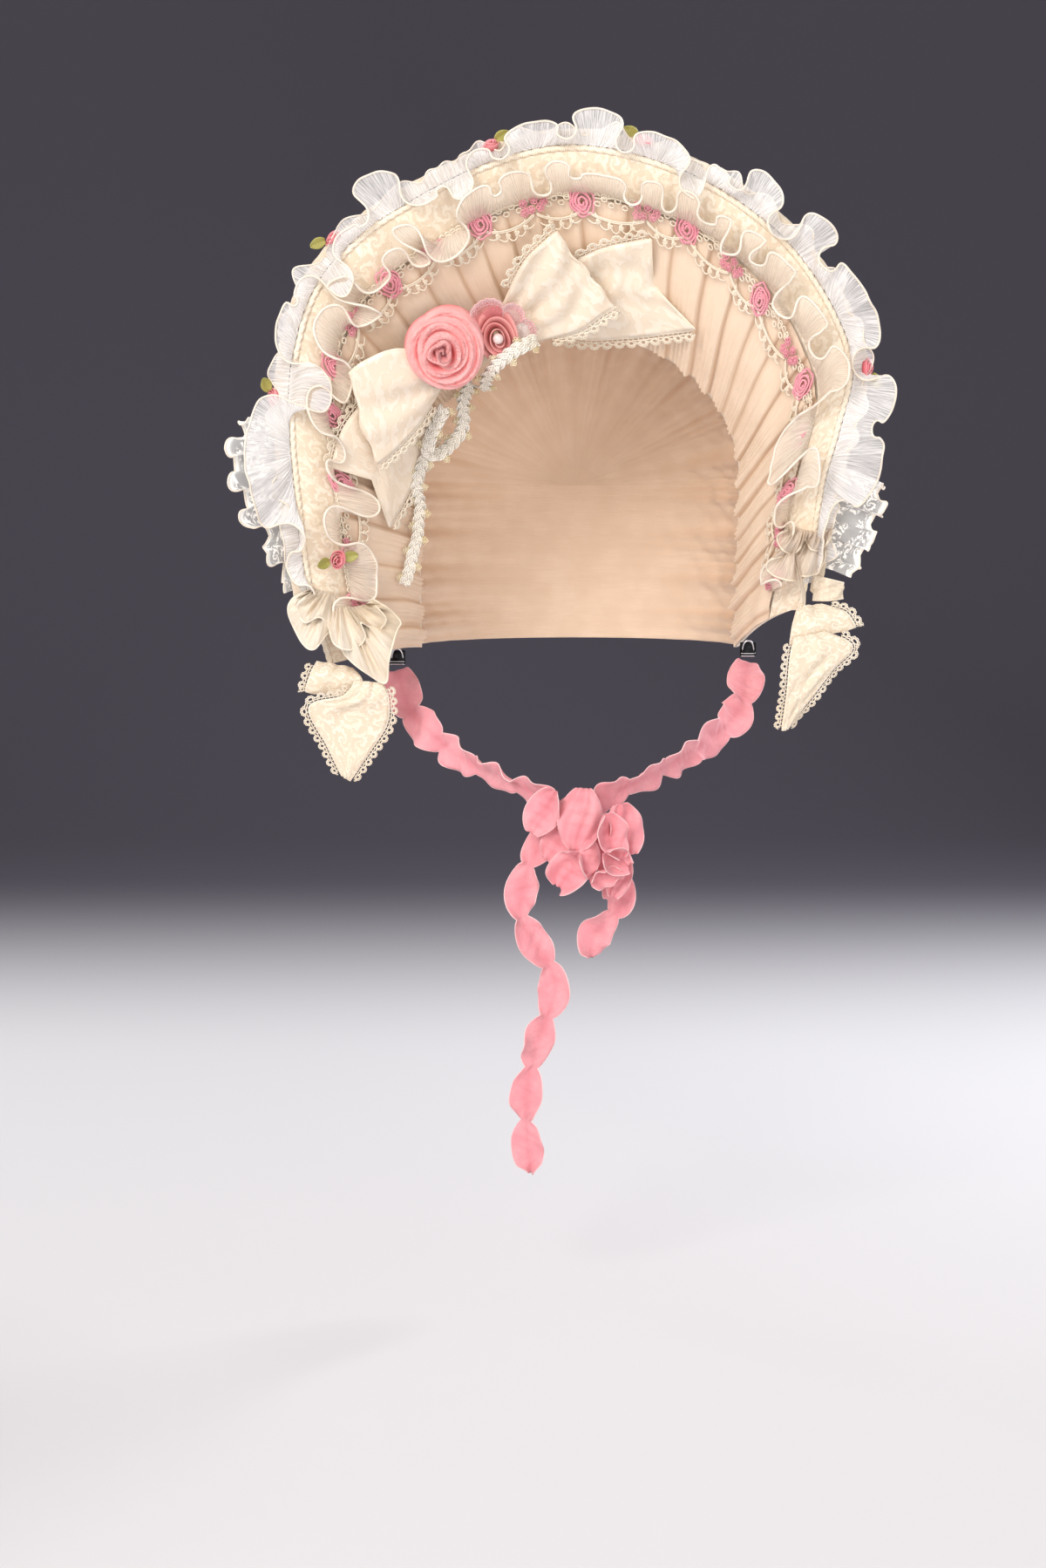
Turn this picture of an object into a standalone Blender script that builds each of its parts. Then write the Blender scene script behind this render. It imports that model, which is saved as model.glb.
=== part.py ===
"""Ruffled bonnet with a flared brim, ruffles, rose lace, a damask bow and petal ribbon ties.

The origin is the point inside the top of the crown on which the bonnet rests when it is worn.
The brim's open front faces -Y and +Z is up. Tables and sizes are in millimetres, and the mesh
is built in metres.
"""
import math

import bmesh
import bpy
from mathutils import Matrix, Vector

MM = 0.001

# Seam between crown and brim: an arch with straight legs, in a plane that leans back
SEAM_CENTRE_X = 2.0
SEAM_HALF_WIDTH = 86.0
SEAM_RISE = 78.0
SEAM_CENTRE_Z = -75.0
LEG_BOTTOM_Z = -163.0
SEAM_TOP_Y = -35.0
SEAM_BOTTOM_Y = 18.0
SEAM_SETBACK = 2.4

CROWN_BACK_Y = 116.0
CROWN_PUFF = 7.0
CROWN_THICKNESS = 1.6
CROWN_FOLDS = 11
CROWN_FOLD_DEPTH = 1.8
CROWN_ROWS = 6

BRIM_THICKNESS = 2.0
BRIM_FLARE = 5.0
FLARE_AIM_Y = -120.0
LINING_THICKNESS = 0.9
LINING_PLEATS = 16
LINING_PLEAT_DEPTH = 1.7
LINING_SEAM_GAP = 1.0
LINING_BORDER_GAP = 1.2
LINING_HEIGHT = 1.0
BORDER_WIDTH = 19.0
BORDER_INSET = 0.2
BORDER_HEIGHT = 0.9
PIPING_RADIUS = 1.7
PIPING_OFFSET = 2.6
BRIM_COLUMNS = 37

RUFFLE_THICKNESS = 0.8
INNER_RUFFLE_HEIGHT = 2.35
INNER_RUFFLE_START = 2.5
INNER_RUFFLE_CURL = 1.6
INNER_RUFFLE_LOW_STAND = 1.6
OUTER_RUFFLE_START = 4.9
OUTER_RUFFLE_LEAST = 2.0
OUTER_RUFFLE_HEIGHT = -0.8
SIDE_LACE_START = -8.0
SIDE_LACE_SEAM_HEIGHT = -3.2
SIDE_LACE_HEIGHT = -11.5

ROSE_LACE_START = 26.0
ROSE_LACE_END_GAP = 14.0
ROSE_LACE_FROM_RIM = 24.0
ROSE_LACE_CHAIN = 5.0
ROSE_LACE_EYE = 4.5
ROSE_LACE_SCALLOP = 6.5
ROSE_LACE_HOLLOW = 1.5
ROSE_LACE_HEIGHT = 4.2
ROSE_LACE_REPEATS = 21
ROSE_LACE_THICKNESS = 0.8

BOW_THICKNESS = 1.2
TAIL_NOTCH = 11.0
RIBBON_THICKNESS = 1.1
RIBBON_BEND = 1.2
PETAL_LENGTH = 27.0
TIE_WIDTH = 20.0
TIE_WAIST = 11.0
TAIL_WAIST = 7.0

# Places over the brim are x, z and the height above it
BOW_KNOT = (-52, -6, 8.7)
BOW_KNOT_RADII = (17.0, 9.0, 5.8)
BOW_LINE = (3.0, 1.0)
MUSLIN_ROSE = (-67, -8, 17.7)
MUSLIN_ROSE_RADII = (19.6, 20.6)
MUSLIN_ROSE_HEIGHT = 15.0
MUSLIN_ROSE_TURNS = 3.6
MUSLIN_ROSE_WALL = 1.5
SATIN_ROSE = (-34.5, -3, 14.2)
SATIN_ROSE_RADII = (11.8, 14.5)
SATIN_ROSE_HEIGHT = 9.5
SATIN_ROSE_TURNS = 2.8
SATIN_ROSE_WALL = 1.1
ROSE_FLARE = 0.82
ROSE_OUTER_RISE = 0.62
ROSE_CORE = 0.10

ROSEBUD_RADIUS = 5.2
ROSEBUD_LEAF = (8.0, 6.0)
PEARL_RADIUS = 2.5
PEARL_HEIGHT = 12.6
LACE_PETALS_CENTRE = (-36.0, -4.0)
LACE_PETALS_RADII = (15.6, 23.5)
LACE_PETALS_TURN = (150.0, 20.0)
LACE_PETALS_HEIGHTS = (17.4, 18.4)
LACE_PETALS_SCALLOP = 0.07
LEAF_THICKNESS = 0.8
LEAF_FOLD = 0.8
BRAID_RADIUS = 2.4
BRAID_TAIL_RADIUS = 2.0
BRAID_STEP = 5.6
CLIP_SIZE = (9.0, 3.0, 8.6)
CLIP_EDGE = 0.5
CLIP_LEFT = (-96.0, 4.0, -167.6)
CLIP_RIGHT = (94.0, 7.0, -163.4)

# The rim of the brim, from the left lower end over the top to the right lower end
# x, y, z
RIM_POINTS = [
    (-127, -30, -168),
    (-136, -42, -131),
    (-140, -52, -94),
    (-143, -62, -50),
    (-141, -70, -15),
    (-130, -77, 19),
    (-107, -84, 45),
    (-76, -89, 64),
    (-41, -93, 80),
    (-9, -95, 87),
    (21, -95, 84),
    (52, -93, 74),
    (80, -89, 59),
    (105, -84, 38),
    (125, -77, 10),
    (135, -70, -17),
    (130, -62, -46),
    (124, -52, -72),
    (120, -41, -108),
    (115, -31, -140),
]

# Folds of each ruffle, a row for each crest along the rim
# station, crest reach, reach of the hollow after it, lift of the hem
OUTER_FOLDS = [
    (44, 9, 6, 4),
    (80, 12, 12, 5),
    (116, 29, 10, 5),
    (176, 17, 8, 6),
    (204, 15, 7, 6),
    (246, 28, 9, 7),
    (290, 17, 8, 6),
    (324, 17, 9, 6),
    (356, 22, 8, 6),
    (390, 18, 9, 6),
    (413, 15, 8, 5),
    (437, 22, 7, 6),
    (474, 27, 10, 7),
    (513, 22, 8, 6),
    (551, 29, 15, 6),
    (590, 28, 10, 5),
    (622, 10, 7, 4),
    (650, 9, 6, 4),
]

INNER_FOLDS = [
    (34, 30, 9, 9),
    (74, 34, 8, 10),
    (97, 26, 5, 10),
    (144, 20, 6, 8),
    (168, 24, 9, 9),
    (197, 31, 12, 11),
    (222, 25, 10, 10),
    (247, 28, 12, 11),
    (270, 34, 10, 12),
    (298, 22, 9, 10),
    (320, 25, 9, 10),
    (350, 20, 8, 9),
    (383, 25, 10, 10),
    (405, 23, 9, 10),
    (430, 20, 8, 9),
    (451, 22, 9, 9),
    (480, 28, 10, 11),
    (512, 20, 9, 10),
    (540, 25, 10, 10),
    (568, 36, 11, 11),
    (600, 29, 10, 10),
    (630, 22, 10, 9),
    (652, 14, 8, 5),
]

SIDE_LACE_LEFT_FOLDS = [
    (42, 14, 11, 2),
    (62, 22, 17, 3),
    (84, 33, 26, 3),
    (104, 37, 30, 3),
    (120, 37, 26, 3),
    (134, 25, 16, 2),
]

SIDE_LACE_RIGHT_FOLDS = [
    (584, 34, 30, 3),
    (602, 38, 29, 3),
    (620, 34, 26, 3),
    (640, 26, 20, 2),
]

# Bow pieces on the brim, a row for each section of the strip from the knot
# x and z of one edge, x and z of the other edge, height above the brim
BOW_LEFT_LOOP = [
    (-72, -9, -70, -25, 13.5),
    (-92, -7, -82, -44, 18.5),
    (-108, -13, -95, -58, 16.5),
    (-116, -19, -103, -64, 13.5),
    (-109, -15, -97, -57, 9.9),
    (-90, -11, -83, -40, 9.7),
    (-76, -12, -73, -24, 9.7),
]

BOW_LEFT_TAIL = [
    (-83, -22, -76, -33, 7.6),
    (-102, -27, -77, -55, 7.6),
    (-119, -45, -88, -78, 7.6),
    (-126, -66, -98, -97, 7.6),
]

BOW_RIGHT_LOOP = [
    (-39, 14, -25, -2, 11.4),
    (-28, 34, -1, 3, 16.4),
    (-17, 45, 12, 11, 15.0),
    (-11, 50, 19, 15, 12.0),
    (-17, 43, 11, 12, 8.8),
    (-27, 31, -2, 5, 8.5),
    (-34, 14, -24, 2, 8.5),
]

BOW_RIGHT_TAIL = [
    (-24, 15, -18, 2, 6.2),
    (-4, 35, 6, 0, 6.2),
    (14, 43, 32, 1, 6.2),
    (36, 47, 60, 4, 6.2),
]

# Gathered puffs over the brim's lower ends, a row for each fold from outside to inside
# x, y and z of the gathered edge, then x, y and z of the hem
END_RUFFLE_LEFT = [
    (-138, -44, -134, -151, -38, -143),
    (-135, -47, -135, -146, -48, -156),
    (-131, -49, -136, -136, -38, -162),
    (-126, -49, -137, -128, -50, -169),
    (-121, -48, -137, -118, -37, -170),
    (-116, -45, -136, -108, -43, -175),
    (-112, -41, -135, -99, -30, -173),
]

END_RUFFLE_RIGHT = [
    (127, -48, -102, 138, -42, -121),
    (124, -51, -103, 134, -52, -132),
    (120, -52, -104, 125, -43, -136),
    (115, -51, -105, 116, -52, -139),
    (110, -48, -104, 105, -39, -140),
    (106, -43, -103, 96, -40, -137),
]

# Small damask bows below the ends, a row for each section from the top
SIDE_LOOP_LEFT = [
    (-136, -38, -167, -118, -34, -171),
    (-139, -42, -173, -113, -40, -176),
    (-142, -38, -183, -111, -35, -187),
    (-137, -32, -175, -114, -29, -178),
    (-134, -32, -169, -119, -29, -173),
]

SIDE_TAIL_LEFT = [
    (-116, -42, -177, -102, -40, -178),
    (-122, -44, -185, -99, -41, -186),
    (-140, -42, -191, -100, -36, -200),
    (-131, -36, -212, -110, -34, -216),
    (-124, -33, -228, -120, -32, -231),
]

SIDE_LOOP_RIGHT = [
    (116, -38, -139, 128, -38, -137),
    (113, -43, -148, 140, -43, -141),
    (112, -40, -158, 146, -40, -149),
    (114, -34, -150, 141, -34, -143),
    (117, -33, -142, 131, -33, -140),
]

SIDE_TAIL_RIGHT = [
    (114, -44.4, -154, 130, -43.4, -151),
    (112, -45.4, -164, 144, -43.4, -159),
    (111, -42, -181, 134, -40, -172),
    (110, -37, -194, 121, -36, -190),
    (109, -34, -204, 112, -33, -203),
]

TAB_RIGHT = [
    (124, -38, -122, 124, -36, -135),
    (132, -41, -124, 132, -39, -135),
    (140, -38, -126, 140, -37, -134),
]

# Routes of the petal ribbon, a row for each point
# x, y, z, roll of the ribbon's face about its route in degrees
CHIN_TIE_LEFT = [
    (-96, 4, -173.9, 0),
    (-88, -10, -196, 8),
    (-64, -40, -216, 35),
    (-34, -66, -229, 55),
    (-9.2, -81.7, -237.8, 35),
]

CHIN_TIE_RIGHT = [
    (94, 7, -169.4, 0),
    (87, -14, -196, -8),
    (64, -43, -213, -35),
    (34, -68, -227, -50),
    (5.1, -82, -237.6, -35),
]

TIE_TAIL_LONG = [
    (-7, -85, -246.4, 0),
    (-24, -83, -266, 20),
    (-29, -80, -295, -25),
    (-12, -77, -330, 15),
    (-20, -75, -362, -20),
    (-27, -73, -398, 25),
    (-24, -70, -434, 0),
]

TIE_TAIL_SHORT = [
    (3, -85, -246.4, 0),
    (14, -84, -268, -15),
    (22, -81, -288, 20),
    (9, -79, -306, -10),
    (7, -78, -318, 0),
]

# Petals round the tie knot
# angle in the front view, length, width, forward lean in degrees, depth before the knot
TIE_PETALS = [
    (152, 30, 20, 3, 5.6),
    (28, 31, 23, 3, 7.2),
    (-22, 36, 24, 3, 9.3),
    (-70, 32, 24, 3, 11.4),
    (-142, 34, 24, 3, 13.5),
]

TIE_KNOT = (-2, -85, -240)
TIE_KNOT_RADII = (9.0, 5.0, 7.0)
TIE_PETAL_START = 2.5

# Braid routes on the brim: x, z, height above the brim
BRAID_CROSS = [
    (-54, -22, 16.0),
    (-46, -17, 22.0),
    (-37, -9, 26.0),
    (-28, -2, 25.0),
    (-19, 4, 21.0),
]

BRAID_LOOP = [
    (-54.6, -22.4, 15.6),
    (-60, -31, 12.5),
    (-68, -45, 11.6),
    (-77, -58, 12.4),
    (-82, -64, 12.8),
    (-79, -68, 12.0),
    (-72, -62, 12.0),
    (-67, -53, 12.0),
]

BRAID_TAIL = [
    (-79, -70.2, 11.6),
    (-79, -80, 9.0),
    (-83, -92, 8.0),
    (-86, -106, 8.0),
    (-89, -118, 8.0),
    (-91, -128, 8.0),
]

# Rosebuds: station along the rim, distance inside the rim, height, turn of the leaves in degrees
ROSEBUDS = [
    (61, 10, 9.5, 90),
    (143, -6, -6.5, 30),
    (222, -6, -6.3, 160),
    (308, -6, -6.3, 20),
    (378, -6, -6.4, 160),
    (533, -6, -5.9, 30),
]

SATIN_PINK = (0.62, 0.12, 0.13, 1.0)
MUSLIN_PINK = (0.90, 0.30, 0.31, 1.0)
RIBBON_PINK = (0.72, 0.26, 0.29, 1.0)
LINING_BEIGE = (0.80, 0.62, 0.43, 1.0)
DAMASK_CREAM = (0.86, 0.76, 0.60, 1.0)
CHIFFON_CREAM = (0.85, 0.76, 0.63, 1.0)
CHIFFON_WHITE = (0.88, 0.85, 0.80, 1.0)
LACE_CREAM = (0.87, 0.79, 0.64, 1.0)
LACE_WHITE = (0.90, 0.90, 0.87, 1.0)
LEAF_GREEN = (0.28, 0.27, 0.06, 1.0)
PEARL_WHITE = (0.86, 0.82, 0.80, 1.0)
STEEL_DARK = (0.08, 0.08, 0.08, 1.0)


def clear_scene():
    for item in list(bpy.data.objects):
        bpy.data.objects.remove(item, do_unlink=True)


def make_collection(name):
    group = bpy.data.collections.new(name)
    bpy.context.scene.collection.children.link(group)
    return group


def make_material(name, colour, roughness=0.8, metallic=0.0):
    material = bpy.data.materials.new(name)
    material.use_nodes = True
    shader = material.node_tree.nodes["Principled BSDF"]
    shader.inputs["Base Color"].default_value = colour
    shader.inputs["Roughness"].default_value = roughness
    shader.inputs["Metallic"].default_value = metallic
    return material


def add_object(name, data, material):
    item = bpy.data.objects.new(name, data)
    data.materials.append(material)
    parts.objects.link(item)
    return item


def mix(a, b, share):
    return a + (b - a) * share


def smooth(share):
    share = min(max(share, 0.0), 1.0)
    return share * share * (3.0 - 2.0 * share)


def curve_value(rows, position):
    """A smooth value through a list of vectors, where position counts rows."""
    last = len(rows) - 1
    index = min(max(int(math.floor(position)), 0), last - 1)
    t = position - index
    before = rows[max(index - 1, 0)]
    start = rows[index]
    end = rows[index + 1]
    after = rows[min(index + 2, last)]
    pull_start = (end - before) * 0.5
    pull_end = (after - start) * 0.5
    return (start * (2 * t ** 3 - 3 * t ** 2 + 1) + pull_start * (t ** 3 - 2 * t ** 2 + t)
            + end * (3 * t ** 2 - 2 * t ** 3) + pull_end * (t ** 3 - t ** 2))


class Route:
    """A smooth route through points, read by its length."""

    def __init__(self, points, steps=16):
        rows = [Vector(point) for point in points]
        count = (len(rows) - 1) * steps
        self.dense = [curve_value(rows, index / steps) for index in range(count + 1)]
        self.lengths = [0.0]
        for start, end in zip(self.dense, self.dense[1:]):
            self.lengths.append(self.lengths[-1] + (end - start).length)
        self.total = self.lengths[-1]

    def at(self, distance):
        distance = min(max(distance, 0.0), self.total)
        low = 0
        high = len(self.lengths) - 1
        while high - low > 1:
            middle = (low + high) // 2
            if self.lengths[middle] <= distance:
                low = middle
            else:
                high = middle
        span = self.lengths[high] - self.lengths[low]
        return mix(self.dense[low], self.dense[high], (distance - self.lengths[low]) / span)


def seam_point(share):
    """The seam arch, share 0 at the left lower end and 1 at the right lower end."""
    leg = SEAM_CENTRE_Z - LEG_BOTTOM_Z
    arch = math.pi * 0.5 * (SEAM_HALF_WIDTH + SEAM_RISE)
    distance = share * (2.0 * leg + arch)
    if distance < leg:
        x, z = -SEAM_HALF_WIDTH, LEG_BOTTOM_Z + distance
    elif distance > leg + arch:
        x, z = SEAM_HALF_WIDTH, SEAM_CENTRE_Z - (distance - leg - arch)
    else:
        angle = math.pi * (distance - leg) / arch
        x = -SEAM_HALF_WIDTH * math.cos(angle)
        z = SEAM_CENTRE_Z + SEAM_RISE * math.sin(angle)
    top = SEAM_CENTRE_Z + SEAM_RISE
    drop = (top - z) / (top - LEG_BOTTOM_Z)
    return Vector((SEAM_CENTRE_X + x, mix(SEAM_TOP_Y, SEAM_BOTTOM_Y, drop), z))


def brim_point(station, from_rim):
    """A point of the brim's front, from its station along the rim and its distance inside it."""
    edge = rim.at(station)
    seam = seam_point(station / rim.total)
    depth = (edge - seam).length
    across = 1.0 - from_rim / depth
    point = mix(seam, edge, across)
    flare = BRIM_FLARE * 4.0 * across * (1.0 - across) if 0.0 < across < 1.0 else 0.0
    inward = Vector((SEAM_CENTRE_X, FLARE_AIM_Y, SEAM_CENTRE_Z)) - point
    return point + inward.normalized() * flare


def brim_frame(station, from_rim):
    """The point, the direction along the rim, the direction outward and the front's normal."""
    step = 1.0
    low = max(station - step, 0.0)
    high = min(station + step, rim.total)
    inside = max(from_rim, step)
    along = (brim_point(high, inside) - brim_point(low, inside)).normalized()
    outward = brim_point(station, inside - step) - brim_point(station, inside + step)
    normal = along.cross(outward).normalized()
    outward = normal.cross(along)
    if from_rim >= 0.0:
        point = brim_point(station, from_rim)
    else:
        point = rim.at(station) - outward * from_rim
    return point, along, outward, normal


def above_brim(station, from_rim, height):
    point, along, outward, normal = brim_frame(station, from_rim)
    return point + normal * height


def brim_depth(station):
    return (rim.at(station) - seam_point(station / rim.total)).length


def over_brim(x, z, height):
    """The point at the given x and z that lies at a height above the brim's front."""
    angle = math.atan2(z - SEAM_CENTRE_Z, SEAM_CENTRE_X - x)
    station = rim.total * min(max(0.2 + 0.6 * angle / math.pi, 0.02), 0.98)
    from_rim = 50.0
    step = 0.5
    for _ in range(14):
        point = above_brim(station, from_rim, height)
        side = (above_brim(station + step, from_rim, height) - point) / step
        inner = (above_brim(station, from_rim + step, height) - point) / step
        miss_x = x - point.x
        miss_z = z - point.z
        area = side.x * inner.z - side.z * inner.x
        station += min(max((miss_x * inner.z - miss_z * inner.x) / area, -25.0), 25.0)
        from_rim += min(max((side.x * miss_z - side.z * miss_x) / area, -15.0), 15.0)
        station = min(max(station, 1.0), rim.total - 1.0)
        from_rim = min(max(from_rim, 2.0), 130.0)
    return above_brim(station, from_rim, height)


def cloth(name, columns, rows, place, thickness, material, closed=False, keep=None):
    """A wall of cloth: a grid laid by the function place(u, v) and given its thickness."""
    mesh = bpy.data.meshes.new(name)
    shape = bmesh.new()
    bmesh.ops.create_grid(shape, x_segments=columns, y_segments=rows, size=0.5)
    shape.verts.ensure_lookup_table()
    if keep:
        cut = []
        for face in shape.faces:
            middle = face.calc_center_median()
            column = int((middle.x + 0.5) * columns)
            row = int((middle.y + 0.5) * rows)
            if not keep(column, row):
                cut.append(face)
        bmesh.ops.delete(shape, geom=cut, context="FACES")
    for vert in shape.verts:
        vert.co = place(vert.co.x + 0.5, vert.co.y + 0.5) * MM
    if closed:
        bmesh.ops.remove_doubles(shape, verts=shape.verts[:], dist=0.00005)
    shape.to_mesh(mesh)
    shape.free()
    mesh.shade_smooth()
    item = add_object(name, mesh, material)
    wall = item.modifiers.new("Wall", "SOLIDIFY")
    wall.thickness = thickness * MM
    wall.offset = 0.0
    return item


def loft_cloth(name, sections, steps, across, thickness, material, notch=0.0):
    """Cloth between the two edges of each section, with a notched end."""
    first = [section[0] for section in sections]
    second = [section[1] for section in sections]
    last = len(sections) - 1

    def place(u, v):
        position = u * last
        point = mix(curve_value(first, position), curve_value(second, position), v)
        centre = (first[last] + second[last]) * 0.5
        before = (first[last - 1] + second[last - 1]) * 0.5
        back = (before - centre).normalized() * notch
        return point + back * smooth((u - 0.55) / 0.45) * (1.0 - abs(2.0 * v - 1.0))

    return cloth(name, last * steps, across, place, thickness, material)


def tube(name, points, radius, material, sides=2):
    """A round cord on a poly line with filled ends."""
    curve = bpy.data.curves.new(name, "CURVE")
    curve.dimensions = "3D"
    curve.bevel_depth = radius * MM
    curve.bevel_resolution = sides
    curve.use_fill_caps = True
    spline = curve.splines.new("POLY")
    spline.points.add(len(points) - 1)
    for target, point in zip(spline.points, points):
        target.co = (*(point * MM), 1.0)
    return add_object(name, curve, material)


def fold_at(folds, phase):
    """Station, reach, lift and crest share of a ruffle at a fold number with its fraction."""
    index = min(int(phase), len(folds) - 2)
    t = phase - index
    station, crest, hollow, lift = (mix(a, b, t) for a, b in zip(folds[index], folds[index + 1]))
    top = 0.5 + 0.5 * math.cos(2.0 * math.pi * t)
    reach = mix(folds[index][2], crest, top)
    return station, reach, lift, top


def make_crown():
    def place(u, v):
        seam = seam_point(u)
        turn = v * math.pi * 0.5
        size = math.cos(turn) ** 0.9 if v < 1.0 else 0.0
        puff = 1.0 + CROWN_PUFF / SEAM_HALF_WIDTH * math.sin(math.pi * v) ** 0.8 if 0.0 < v < 1.0 else 1.0
        fold = math.cos(2.0 * math.pi * CROWN_FOLDS * u) * CROWN_FOLD_DEPTH * math.sin(math.pi * min(v * 1.6, 1.0))
        scale = size * puff + fold / SEAM_HALF_WIDTH * size
        x = SEAM_CENTRE_X + (seam.x - SEAM_CENTRE_X) * scale
        rise = max(seam.z - SEAM_CENTRE_Z, 0.0)
        z = min(seam.z, SEAM_CENTRE_Z) + rise * scale
        y = mix(seam.y + SEAM_SETBACK, CROWN_BACK_Y, math.sin(turn))
        return Vector((x, y, z))

    return cloth("crown", CROWN_FOLDS * 3, CROWN_ROWS, place, CROWN_THICKNESS, cream_damask, closed=True)


def make_brim():
    def shell(u, v):
        station = u * rim.total
        depth = brim_depth(station)
        middle = mix(depth, BORDER_WIDTH, 0.5)
        from_rim = (depth, middle, BORDER_WIDTH, 0.0)[round(3 * v)]
        return above_brim(station, from_rim, -BRIM_THICKNESS * 0.5)

    def lining(u, v):
        station = u * rim.total
        depth = brim_depth(station)
        middle = mix(depth, BORDER_WIDTH, 0.5)
        from_rim = (depth - LINING_SEAM_GAP, middle, BORDER_WIDTH + LINING_BORDER_GAP)[round(2 * v)]
        pleat = 0.5 + 0.5 * math.cos(2.0 * math.pi * LINING_PLEATS * u)
        return above_brim(station, from_rim, LINING_HEIGHT + LINING_PLEAT_DEPTH * pleat)

    def border(u, v):
        return above_brim(u * rim.total, mix(BORDER_WIDTH, BORDER_INSET, v), BORDER_HEIGHT)

    cloth("brim", BRIM_COLUMNS, 3, shell, BRIM_THICKNESS, cream_damask)
    cloth("brim_lining", LINING_PLEATS * 4, 2, lining, LINING_THICKNESS, beige_lining)
    cloth("brim_border", BRIM_COLUMNS, 1, border, LINING_THICKNESS, cream_damask)
    points = []
    for index in range(BRIM_COLUMNS + 1):
        station = rim.total * index / BRIM_COLUMNS
        points.append(above_brim(station, -PIPING_OFFSET, -BRIM_THICKNESS * 0.5))
    tube("rim_piping", points, PIPING_RADIUS, cream_cord, sides=1)


def make_outer_ruffle():
    """A ruffle sewn along the piping that stands out past it."""
    def place(u, v):
        station, reach, lift, top = fold_at(OUTER_FOLDS, u * (len(OUTER_FOLDS) - 1))
        beyond = mix(OUTER_RUFFLE_START, max(reach, OUTER_RUFFLE_START + OUTER_RUFFLE_LEAST), v)
        stand = smooth((beyond - OUTER_RUFFLE_START) / 12.0) * lift * (1.0 - 2.0 * top)
        return above_brim(station, -beyond, OUTER_RUFFLE_HEIGHT + stand)

    return cloth("outer_ruffle", (len(OUTER_FOLDS) - 1) * 4, 2, place, RUFFLE_THICKNESS, white_chiffon)


def make_side_lace(name, folds):
    """A lace flounce sewn behind the brim that spreads out below its ruffle."""
    def place(u, v):
        station, reach, lift, top = fold_at(folds, u * (len(folds) - 1))
        beyond = mix(SIDE_LACE_START, reach, v)
        drop = mix(SIDE_LACE_SEAM_HEIGHT, SIDE_LACE_HEIGHT, smooth(1.5 * v))
        return above_brim(station, -beyond, drop + lift * (2.0 * top - 1.0) * v)

    return cloth(name, (len(folds) - 1) * 4, 3, place, RUFFLE_THICKNESS, white_lace)


def make_inner_ruffle():
    """A ruffle sewn inside the rim that falls inward over the brim."""
    last = len(INNER_FOLDS) - 1

    def place(u, v):
        station, reach, lift, top = fold_at(INNER_FOLDS, u * last)
        curl = INNER_RUFFLE_CURL * math.sin(4.0 * math.pi * u * last) * v
        stand = mix(INNER_RUFFLE_LOW_STAND, lift, top) * v ** 0.85
        from_rim = INNER_RUFFLE_START + reach * v
        return above_brim(station - curl, from_rim, INNER_RUFFLE_HEIGHT + stand)

    return cloth("inner_ruffle", last * 5, 2, place, RUFFLE_THICKNESS, cream_chiffon)


def make_rose_lace():
    """Lace band with an open eye in each repeat and a scalloped inner edge."""
    widths = [0.0, ROSE_LACE_CHAIN, ROSE_LACE_CHAIN + ROSE_LACE_EYE,
              ROSE_LACE_CHAIN + ROSE_LACE_EYE + ROSE_LACE_SCALLOP]

    def place(u, v):
        station = mix(ROSE_LACE_START, rim.total - ROSE_LACE_END_GAP, u)
        row = round(v * 3)
        scallop = abs(math.sin(math.pi * ROSE_LACE_REPEATS * u))
        width = widths[row]
        if row == 3:
            width = mix(widths[2] + ROSE_LACE_HOLLOW, widths[3], scallop)
        return above_brim(station, ROSE_LACE_FROM_RIM + width, ROSE_LACE_HEIGHT)

    def keep(column, row):
        return not (row == 1 and column % 3 == 1)

    return cloth("rose_lace", ROSE_LACE_REPEATS * 3, 3, place, ROSE_LACE_THICKNESS, cream_lace, keep=keep)


def brim_sections(table):
    sections = []
    for x, z, other_x, other_z, height in table:
        sections.append((over_brim(x, z, height), over_brim(other_x, other_z, height)))
    return sections


def free_sections(table):
    return [(Vector(row[:3]), Vector(row[3:])) for row in table]


def make_bow():
    for name, table in (("bow_left_loop", BOW_LEFT_LOOP), ("bow_right_loop", BOW_RIGHT_LOOP)):
        loft_cloth(name, brim_sections(table), 2, 3, BOW_THICKNESS, cream_damask)
    for name, table in (("bow_left_tail", BOW_LEFT_TAIL), ("bow_right_tail", BOW_RIGHT_TAIL)):
        loft_cloth(name, brim_sections(table), 3, 4, BOW_THICKNESS, cream_damask, notch=TAIL_NOTCH)
    ball("bow_knot", over_brim(*BOW_KNOT), BOW_KNOT_RADII, cream_damask, face_brim(*BOW_KNOT[:2]))


def face_brim(x, z):
    """Rotation that lays local X along the bow and local Z out of the brim's front."""
    across, rise = BOW_LINE
    side = over_brim(x + across, z + rise, 0.0) - over_brim(x - across, z - rise, 0.0)
    upward = over_brim(x, z + across, 0.0) - over_brim(x, z - across, 0.0)
    normal = side.cross(upward).normalized()
    if normal.y > 0.0:
        normal = -normal
    side = (side - normal * side.dot(normal)).normalized()
    return Matrix((side, normal.cross(side), normal)).transposed()


def ball(name, centre, radii, material, turn, segments=8, rings=5):
    mesh = bpy.data.meshes.new(name)
    shape = bmesh.new()
    bmesh.ops.create_uvsphere(shape, u_segments=segments, v_segments=rings, radius=1.0)
    bmesh.ops.scale(shape, verts=shape.verts, vec=Vector(radii) * MM)
    bmesh.ops.rotate(shape, verts=shape.verts, cent=(0, 0, 0), matrix=turn)
    shape.to_mesh(mesh)
    shape.free()
    mesh.shade_smooth()
    item = add_object(name, mesh, material)
    item.location = centre * MM
    return item


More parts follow.
